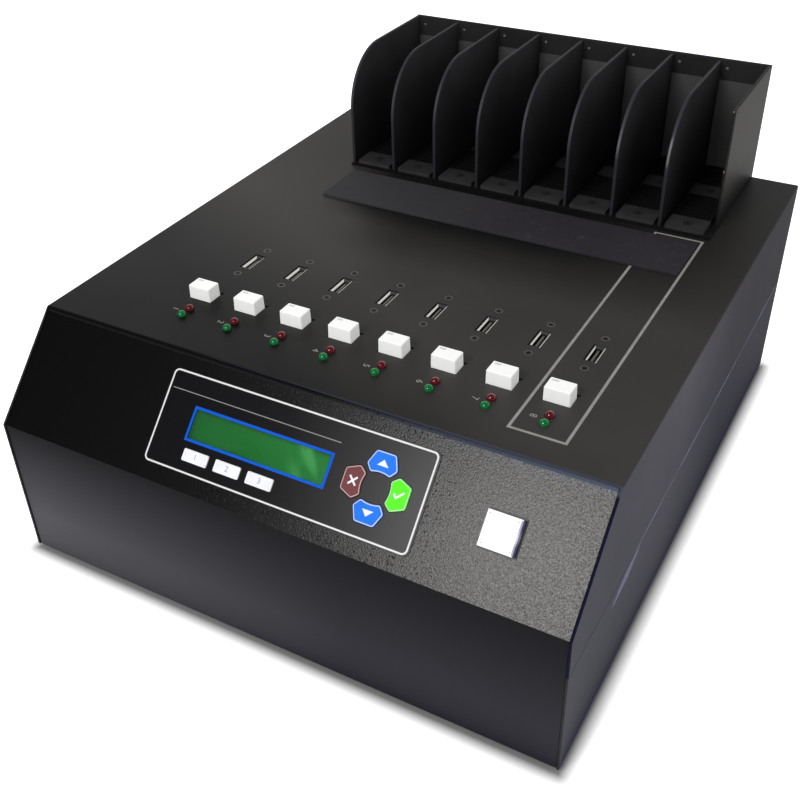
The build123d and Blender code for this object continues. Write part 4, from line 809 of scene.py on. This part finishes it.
class DUPLICATOR_OT_deck_parts(Work):
    """Channel buttons, lamps, data sockets and screws"""

    bl_idname = "duplicator.deck_parts"
    bl_label = "Deck Parts"

    shell_width: length_setting("Shell", "Width of a socket's metal shell", 0.0056)
    contact_pitch: length_setting("Contacts", "Spacing of a socket's contacts", 0.0014)
    screw_spacing: length_setting("Screws", "Spacing of the two screws of a socket", 0.0298)
    floor_width: length_setting("Bay floor", "Width of a bay's floor", 0.0240)
    front_screw: length_setting("Front screw", "Front pad's screw from the floor's front", 0.00825)
    rear_screw: length_setting("Rear screw", "Rear pad's screw from the floor's front", 0.05695)

    def make(self, settings):
        plastic = settings.plastic
        # The white buttons glow a little: painted light that brightens them
        white = Finish("button_plastic", plastic.button_white, 0.38, (0.0012, 0.00001),
                       Subsurface_Weight=0.15, Subsurface_Radius=SCATTER,
                       Emission_Color=(*plastic.button_white, 1), Emission_Strength=0.25)
        dress(white, *numbered("channel_button", BAYS))
        self.add_button_windows(settings)
        dress(self.lamp_plastic("green_lamp", plastic.lamp_green, 0.1), "green_lamps")
        dress(self.lamp_plastic("red_lamp", plastic.lamp_red, 0.05), "red_lamps")
        dress(self.shell_metal(), "port_shells")
        self.add_contacts()
        black = Finish("socket_plastic", srgb(14, 14, 16), 0.45, (0.0006, 0.00001))
        # Upward faces painted paler: painted light
        top = black.facing((0, 0, 1), 0.8, 0.95)
        black.join(black.blend(top, srgb(14, 14, 16), srgb(98, 93, 86)), "Base Color")
        dress(black, "port_bodies")
        dress_plain(("blackened_screw", srgb(62, 60, 58), 0.45, 0.1, (0.0004, 0.00002), None,
                     ["countersunk_screws"]))
        self.add_screw_marks(settings.ink.ink_height)

    def shell_metal(self):
        """Thin tin with a painted highlight and glow at the mouth on its left wall, faintly on its rear wall,
        and painted shade further in.
        """
        finish = Finish("socket_shell", (0.9, 0.88, 0.84), 0.4, (0.0008, 0.00001), Metallic=0.35,
                        Emission_Color=(0.9, 0.86, 0.81, 1))
        mouth = finish.spread(finish.at("Z"), DECK_TOP - 0.0024, DECK_TOP - 0.0018)
        rear_wall = finish.times(finish.facing((0, -1, 0), 0.7, 0.9), 0.05)
        lit = finish.times(mouth, finish.most(finish.facing((1, 0, 0), 0.7, 0.9), rear_wall))
        finish.join(finish.blend(lit, (0.02, 0.02, 0.022), (0.9, 0.87, 0.83)), "Base Color")
        # Painted glow on the highlighted walls
        finish.join(finish.times(lit, 0.5), "Emission Strength")
        return finish

    def socket_places(self):
        """Middle of each data socket on the deck."""
        low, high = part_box("port_shells")
        half = self.shell_width / 2
        return [(x, (low.y + high.y) / 2) for x in row_of_eight(low.x + half, high.x - half)]

    def add_contacts(self):
        """Seven contact strips on the tongue of each socket."""
        strips = []
        for x, y in self.socket_places():
            for i in range(7):
                strip = inked_shape("contact_strip", [rectangle(0.0007, 0.0036)], 0.00006)
                along = y + (i - 3) * self.contact_pitch
                place = Matrix.Translation((x + 0.0006, along, DECK_TOP - 0.0040))
                turn = Matrix.Rotation(pi / 2, 4, "Y") @ Matrix.Rotation(pi / 2, 4, "Z")
                strip.transform(place @ turn)
                strips.append(strip)
        brass = Finish("contact_metal", srgb(196, 188, 170), 0.35, INK_GRAIN, Metallic=0.5)
        add_joined("port_contacts", strips, brass)

    def add_screw_marks(self, ink_height):
        """Painted shade in the recess and a painted highlight on the rim of the sockets' screws; painted
        shade in a ring round and in the recess of the bay floors' screws.
        """
        dark = Finish("screw_recess", srgb(6, 6, 7), 0.6, (0.0004, 0.00001))
        worn_and_lit = Finish("rim_highlight", srgb(108, 105, 101), 0.45, None, (0.0015, 0.3))
        crosses, rims, pad_marks = [], [], []
        for x, y in self.socket_places():
            for side in (-1, 1):
                place = deck_place(x, y + side * self.screw_spacing / 2)
                cross = inked_shape("recess", [self.cross_outline(0.0013, 0.0004)], ink_height)
                cross.transform(place @ Matrix.Rotation(0.3 + 0.5 * side + 9 * x, 4, "Z"))
                crosses.append(cross)
                rim = inked_shape("rim", [circle(0.0022), circle(0.0019)], ink_height)
                rim.transform(place)
                rims.append(rim)
        low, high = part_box("bay_floors")
        half = self.floor_width / 2
        for i, x in enumerate(row_of_eight(low.x + half, high.x - half)):
            for depth in (self.front_screw, self.rear_screw):
                place = deck_place(x, low.y + depth, high.z) @ Matrix.Rotation(0.4 + 1.3 * i, 4, "Z")
                for loops in ([circle(0.0028), circle(0.0022)], [self.cross_outline(0.0014, 0.0005)]):
                    mark = inked_shape("pad_mark", loops, ink_height)
                    mark.transform(place)
                    pad_marks.append(mark)
        for name, meshes, finish in (("screw_recesses", crosses, dark), ("pad_marks", pad_marks, dark),
                                     ("screw_rims", rims, worn_and_lit)):
            add_joined(name, meshes, finish)

    def cross_outline(self, reach, half):
        """Outline of a plus sign."""
        corner = [(reach, -half), (reach, half), (half, half)]
        points = []
        for quarter in range(4):
            c, s = round(cos(quarter * pi / 2)), round(sin(quarter * pi / 2))
            points += [(x * c - y * s, x * s + y * c) for x, y in corner]
        return points

    def lamp_plastic(self, name, colour, glow):
        """Tinted lamp that glows a little inside."""
        finish = Finish(name, colour, 0.12, Coat_Weight=0.6, Coat_Roughness=0.05, Subsurface_Weight=0.3,
                        Subsurface_Radius=SCATTER, Emission_Color=(*colour, 1),
                        Emission_Strength=glow)
        # Lower sides painted darker: painted shade
        up = finish.facing((0, 0, 1), -0.2, 1.0)
        finish.join(finish.blend(up, shade(colour, 0.55), colour), "Base Color")
        return finish

    def add_button_windows(self, settings):
        """Small greyish window near the rear left corner of each button."""
        grey = Finish("button_window", srgb(222, 225, 229), 0.3, (0.001, 0.00001))
        outline = rounded_rectangle(0.0036, 0.0016, 0.0004)
        for number, name in enumerate(numbered("channel_button", BAYS), start=1):
            low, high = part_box(name)
            mesh = inked_shape(f"button_window_{number}", [outline], settings.ink.ink_height)
            place = deck_place(low.x + 0.0034, high.y - 0.0024, high.z)
            add_piece(f"button_window_{number}", mesh, place, grey, f"{name}_body")


class DUPLICATOR_OT_deck_print(Work):
    """Printed rectangle round the last column and a number beside each column"""

    bl_idname = "duplicator.deck_print"
    bl_label = "Deck Print"

    frame_left: length_setting("Left line", "Left line from the last lamp", -0.0140)
    frame_right: length_setting("Right line", "Right line from the last lamp", 0.0144)
    frame_front: length_setting("Front line", "Front line from the case's front", 0.0650)
    frame_rear: length_setting("Rear line", "Rear line from the case's front", 0.2790)
    digit_shift: length_setting("Digit shift", "Number's middle from its lamps", -0.0072)
    digit_y: length_setting("Digit place", "Number's middle from the case's front", 0.0780)

    def make(self, settings):
        ink = settings.ink
        paint = Finish("deck_ink", ink.deck_ink, 0.5, (settings.paint.deck_grain, 0.00002), (0.004, 0.08))
        low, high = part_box("green_lamps")
        radius = (high.y - low.y) / 2
        first, last = low.x + radius, high.x - radius
        wide = self.frame_right - self.frame_left
        deep = self.frame_rear - self.frame_front
        loops = [rectangle(wide + side * ink.deck_line, deep + side * ink.deck_line) for side in (1, -1)]
        place = deck_place(
            last + (self.frame_left + self.frame_right) / 2,
            CASE_LOW.y + (self.frame_front + self.frame_rear) / 2,
        )
        mesh = inked_shape("source_column_frame", loops, ink.ink_height)
        add_piece("source_column_frame", mesh, place, paint, "case")
        digits = []
        for number, x in enumerate(row_of_eight(first, last), start=1):
            digit = inked_text(f"digit_{number}", str(number), ink.digit_size, ink.ink_height)
            place = deck_place(x + self.digit_shift, CASE_LOW.y + self.digit_y)
            digit.transform(place @ Matrix.Rotation(-pi / 2, 4, "Z"))
            digits.append(digit)
        add_joined("column_numbers", digits, paint)


class DUPLICATOR_OT_overlay(Work):
    """Control overlay with its border, rule and display frame"""

    bl_idname = "duplicator.overlay"
    bl_label = "Control Overlay"

    def make(self, settings):
        ink = settings.ink
        film_black = settings.plastic.overlay_black
        film = Finish("overlay_film", film_black, 0.26, INK_GRAIN, Specular_IOR_Level=0.2)
        # Painted sheen: the film lighter towards the right
        painted_sheen_right = film.spread(film.at("X"), 0.0, 0.075)
        film.join(film.blend(painted_sheen_right, film.mottle(film_black, 0.02, 0.06), srgb(46, 45, 46)), "Base Color")
        dress(film, "control_overlay")
        low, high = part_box("control_overlay")
        x, up, width, height = self.panel_shape("control_overlay", low, high)
        top = top_along("control_overlay", PANEL_OUT)
        wide, tall, corner = width - 0.0020, height - 0.0014, 0.0030
        loops = [rounded_rectangle(wide - 2 * inset, tall - 2 * inset, corner - inset)
                 for inset in (0.0, ink.border_line)]
        border = inked_shape("overlay_border", loops, ink.ink_height)
        white = ink_finish("panel_ink", ink.panel_ink)
        add_piece("overlay_border", border, panel_place(x, up, top), white, "case")
        rule = inked_shape("overlay_rule", [rectangle(0.1006, 0.0004)], ink.ink_height)
        rule_place = panel_place(CASE_LOW.x + 0.1466, up + 0.0149, top)
        grey = ink_finish("rule_ink", srgb(150, 150, 150))
        add_piece("overlay_rule", rule, rule_place, grey, "case")
        self.add_display(settings, top)

    def panel_shape(self, name, low, high):
        """Middle of a CAD node on the slope, right and up, and its width and height there."""
        up = middle_along(name, PANEL_UP)
        return (low.x + high.x) / 2, up, high.x - low.x, 2 * (top_along(name, PANEL_UP) - up)

    def add_display(self, settings, top):
        ink = settings.ink
        low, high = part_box("display_window")
        x, up, width, height = self.panel_shape("display_window", low, high)
        blue = Finish("display_frame_ink", ink.frame_ink, 0.45, INK_GRAIN, Specular_IOR_Level=0.08)
        line = 0.0014
        loops = [rectangle(width + 2 * line, height + 2 * line), rectangle(width, height)]
        mesh = inked_shape("display_frame", loops, ink.ink_height)
        add_piece("display_frame", mesh, panel_place(x, up, top), blue, "case")
        window = Finish("window_film", (1.0, 1.0, 1.0), 0.08, (0.02, 0.00001), Transmission_Weight=1.0,
                        IOR=1.04)
        dress(window, "display_window")
        green = settings.plastic.display_green
        lit = Finish("lit_display", green, 0.25, Specular_IOR_Level=0.15, Emission_Strength=0.2)
        place_x, place_up = lit.at("X"), lit.up_slope()
        # Painted shade: the display darker towards the left
        across = lit.spread(place_x, low.x, high.x)
        colour = lit.blend(across, shade(green, 0.62), green)
        # Painted shadow of the recess along the left and top edges
        left_recess_shadow = lit.spread(place_x, low.x + 0.0018, low.x + 0.0026, 1.0, 0.0)
        top_recess_shadow = lit.spread(place_up, up + height / 2 - 0.0016, up + height / 2 - 0.0008)
        colour = lit.blend(lit.times(lit.most(left_recess_shadow, top_recess_shadow), 0.55), colour, srgb(20, 44, 24))
        # Painted reflection: a pale streak towards the right
        slant = lit.math("ADD", place_x, lit.times(place_up, 0.9))
        ripple = lit.times(lit.math("SINE", lit.times(slant, 420.0)), 0.12)
        streak = lit.math("ADD", lit.noise(0.016, 1.0, 0.4, (1.0, 0.25, 0.25)), ripple)
        streak = lit.times(lit.spread(streak, 0.5, 0.72), lit.spread(across, 0.7, 1.0, 0.0, 0.5))
        colour = lit.blend(streak, colour, srgb(90, 176, 104))
        lit.join(colour, "Base Color")
        lit.join(colour, "Emission Color")
        dress(lit, "display_glass")


class DUPLICATOR_OT_keys(Work):
    """White menu keys and the ring of four keys, with rims and symbols"""

    bl_idname = "duplicator.keys"
    bl_label = "Keys"

    rim_width: length_setting("Rim width", "Pale rim round each ring key", 0.0006)

    def make(self, settings):
        plastic = settings.plastic
        self.height = settings.ink.ink_height
        white = self.key_plastic("white_key", plastic.key_white)
        self.ink = ink_finish("symbol_ink", srgb(240, 240, 240))
        number_ink = ink_finish("key_number_ink", settings.ink.legend_ink)
        for number, name in enumerate(numbered("menu_key", 3), start=1):
            dress(white, name)
            digit = inked_text(f"menu_key_number_{number}", str(number), 0.0042, self.height)
            add_piece(f"menu_key_number_{number}", digit, self.on_key(name), number_ink, f"{name}_body")
        blue_rim = ink_finish("blue_key_rim", srgb(200, 214, 240))
        maroon_rim = ink_finish("maroon_key_rim", srgb(196, 164, 166))
        green_rim = ink_finish("green_key_rim", srgb(190, 235, 180))
        arrow = [(-0.0029, -0.0015), (0.0031, -0.0015), (-0.0001, 0.0017)]
        bar = rectangle(0.0058, 0.0010)
        tick = [(-0.0028, 0.0002), (-0.0009, -0.0019), (0.0029, 0.0019), (0.0022, 0.0026),
                (-0.0009, -0.0005), (-0.0021, 0.0009)]
        for name, colour, rim, symbols in (
            ("up_key", plastic.key_blue, blue_rim, [(arrow, 0.0, "")]),
            ("down_key", plastic.key_blue, blue_rim, [([(x, -y) for x, y in arrow], 0.0, "")]),
            ("back_key", plastic.key_maroon, maroon_rim, [(bar, pi / 4, ""), (bar, -pi / 4, "_second")]),
            ("enter_key", plastic.key_green, green_rim, [(tick, 0.0, "")]),
        ):
            dress(self.key_plastic(f"{name}_plastic", colour), name)
            self.add_rim(name, rim)
            for loop, turn, ending in symbols:
                self.add_symbol(name, loop, turn, ending)

    def key_plastic(self, name, colour):
        return Finish(name, colour, 0.4, (0.0012, 0.000008), (0.01, 0.04), Specular_IOR_Level=0.08)

    def on_key(self, name):
        """Place at the middle of a key's outer face."""
        low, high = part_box(name)
        return panel_place((low.x + high.x) / 2, middle_along(name, PANEL_UP), top_along(name, PANEL_OUT))

    def add_symbol(self, name, loop, turn, ending):
        """Print on a key; the second bar of the cross stands higher than the first."""
        mesh = inked_shape(f"{name}_symbol{ending}", [loop], self.height * (2 if ending else 1))
        place = self.on_key(name) @ Matrix.Rotation(turn, 4, "Z")
        add_piece(f"{name}_symbol{ending}", mesh, place, self.ink, f"{name}_body")

    def add_rim(self, name, finish):
        """Pale line just inside the outline of a key's outer face."""
        shape = bmesh.new()
        shape.from_mesh(NODES[name].data)
        bmesh.ops.remove_doubles(shape, verts=shape.verts, dist=1e-6)
        top = top_along(name, PANEL_OUT)
        others = [f for f in shape.faces if any(v.co.dot(PANEL_OUT) < top - 1e-5 for v in f.verts)]
        bmesh.ops.delete(shape, geom=others, context="FACES")
        inset = bmesh.ops.inset_region(
            shape, faces=shape.faces[:], thickness=self.rim_width, use_even_offset=True, use_boundary=True
        )
        rim = set(inset["faces"])
        bmesh.ops.delete(shape, geom=[f for f in shape.faces if f not in rim], context="FACES")
        raised = bmesh.ops.extrude_face_region(shape, geom=shape.faces[:], use_keep_orig=True)
        lifted = [v for v in raised["geom"] if isinstance(v, bmesh.types.BMVert)]
        bmesh.ops.translate(shape, verts=lifted, vec=PANEL_OUT * self.height)
        bmesh.ops.recalc_face_normals(shape, faces=shape.faces)
        mesh = bpy.data.meshes.new(f"{name}_rim")
        shape.to_mesh(mesh)
        shape.free()
        add_piece(f"{name}_rim", mesh, Matrix.Identity(4), finish, f"{name}_body")


class DUPLICATOR_OT_power(Work):
    """Lit power button and its housing"""

    bl_idname = "duplicator.power"
    bl_label = "Power Button"

    def make(self, settings):
        white = settings.plastic.power_white
        cap = Finish("lit_cap", white, 0.2, Coat_Weight=0.5, Coat_Roughness=0.05)
        # Right face painted darker and purple, a painted shade, with a painted glint across its middle
        right_face = cap.facing((1, 0, 0), 0.3, 0.9)
        up = middle_along("power_button", PANEL_UP)
        glint = cap.spread(cap.apart(cap.up_slope(), up), 0.001, 0.004, 1.0, 0.0)
        side = cap.blend(glint, srgb(128, 122, 166), srgb(206, 204, 232))
        colour = cap.blend(right_face, white, side)
        cap.join(colour, "Base Color")
        cap.join(colour, "Emission Color")
        cap.join(cap.spread(right_face, 0.0, 1.0, 0.45, 0.05), "Emission Strength")
        dress(cap, "power_button")
        dress(Finish("power_housing", srgb(14, 14, 16), 0.4, (0.0008, 0.00001)), "power_switch")
        low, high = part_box("power_button")
        half = (high.x - low.x) / 2 - 0.0016
        out = top_along("power_button", PANEL_OUT)
        spots = []
        for i, j in ((-1, 1), (-1, -1), (1, 1), (1, -1)):
            spot = inked_shape("corner_spot", [rounded_rectangle(0.0008, 0.0008, 0.0004)],
                               settings.ink.ink_height)
            spot.transform(panel_place((low.x + high.x) / 2 + i * half, up + j * half, out))
            spots.append(spot)
        grey = Finish("cap_corner_mark", srgb(150, 150, 155), 0.4, (0.0004, 0.00001))
        add_joined("power_button_marks", spots, grey, "power_button_body")


class DUPLICATOR_OT_rear(Work):
    """Fans, finger guards, mains inlet, rocker and screws at the rear"""

    bl_idname = "duplicator.rear"
    bl_label = "Rear Parts"

    def make(self, settings):
        fans = ["fan_frame_left", "fan_frame_right", "fan_rotor_left", "fan_rotor_right", "mains_inlet"]
        dress_plain(
            ("fan_plastic", srgb(24, 24, 25), 0.42, 0.0, (0.0009, 0.00002), None, fans),
            ("rocker_plastic", srgb(26, 26, 28), 0.25, 0.0, (0.0009, 0.00001), None, ["mains_rocker"]),
            ("guard_wire", (0.66, 0.66, 0.68), 0.22, 1.0, (0.002, 0.00002), None, ["finger_guards"]),
            ("zinc_screw", (0.55, 0.55, 0.53), 0.32, 1.0, None, (0.002, 0.2), ["pan_screws"]),
        )


class DUPLICATOR_OT_inside(Work):
    """Boards, cables, power supply and posts inside the case"""

    bl_idname = "duplicator.inside"
    bl_label = "Inside"

    def make(self, settings):
        mask = srgb(18, 82, 46)
        board = Finish("solder_mask", mask, 0.3, Coat_Weight=0.4)
        tracks = board.spread(board.noise(0.0018, 2.0, 0.4, (1.0, 0.15, 1.0)), 0.5, 0.53)
        board.join(board.blend(tracks, mask, srgb(34, 112, 66)), "Base Color")
        board.bump((tracks, 0.00003))
        dress(board, "channel_board", "keypad_board", "controller_board")
        black_parts = ["channel_switches", "display_module"]
        dress_plain(
            ("moulded_black", srgb(22, 22, 23), 0.5, 0.0, (0.0007, 0.00002), None, black_parts),
            ("cable_jacket", srgb(150, 26, 22), 0.45, 0.0, (0.002, 0.00002), None, ["data_cables"]),
            ("supply_sheet", (0.5, 0.51, 0.52), 0.38, 1.0, None, (0.012, 0.15), ["power_supply"]),
            ("post_brass", srgb(196, 160, 84), 0.3, 1.0, (0.001, 0.00001), None, ["posts"]),
        )


class DuplicatorSettings(PropertyGroup):
    """Everything that a user would change."""

    paint: PointerProperty(type=PaintSettings)
    ink: PointerProperty(type=PrintSettings)
    plastic: PointerProperty(type=PlasticSettings)
    stage: PointerProperty(type=StageSettings)


OPERATORS = (
    DUPLICATOR_OT_stage,
    DUPLICATOR_OT_case,
    DUPLICATOR_OT_rack,
    DUPLICATOR_OT_deck_parts,
    DUPLICATOR_OT_deck_print,
    DUPLICATOR_OT_overlay,
    DUPLICATOR_OT_keys,
    DUPLICATOR_OT_power,
    DUPLICATOR_OT_rear,
    DUPLICATOR_OT_inside,
)


class DUPLICATOR_PT_looks(Panel):
    """Lists the pieces in the order in which they are made"""

    bl_label = "Duplicator"
    bl_idname = "DUPLICATOR_PT_looks"
    bl_space_type = "VIEW_3D"
    bl_region_type = "UI"
    bl_category = "Duplicator"

    def draw(self, context):
        settings = context.scene.duplicator
        for group in (settings.paint, settings.ink, settings.plastic, settings.stage):
            box = self.layout.box()
            for name in group.__annotations__:
                box.prop(group, name)
        for operator in OPERATORS:
            self.layout.operator(operator.bl_idname)


CLASSES = (
    PaintSettings,
    PrintSettings,
    PlasticSettings,
    StageSettings,
    DuplicatorSettings,
    *OPERATORS,
    DUPLICATOR_PT_looks,
)


def register():
    for item in CLASSES:
        bpy.utils.register_class(item)
    bpy.types.Scene.duplicator = PointerProperty(type=DuplicatorSettings)


def unregister():
    del bpy.types.Scene.duplicator
    for item in reversed(CLASSES):
        bpy.utils.unregister_class(item)


def main():
    """Makes every piece in order."""
    register()
    for operator in OPERATORS:
        getattr(bpy.ops.duplicator, operator.bl_idname.split(".")[1])()


if __name__ == "__main__":
    main()
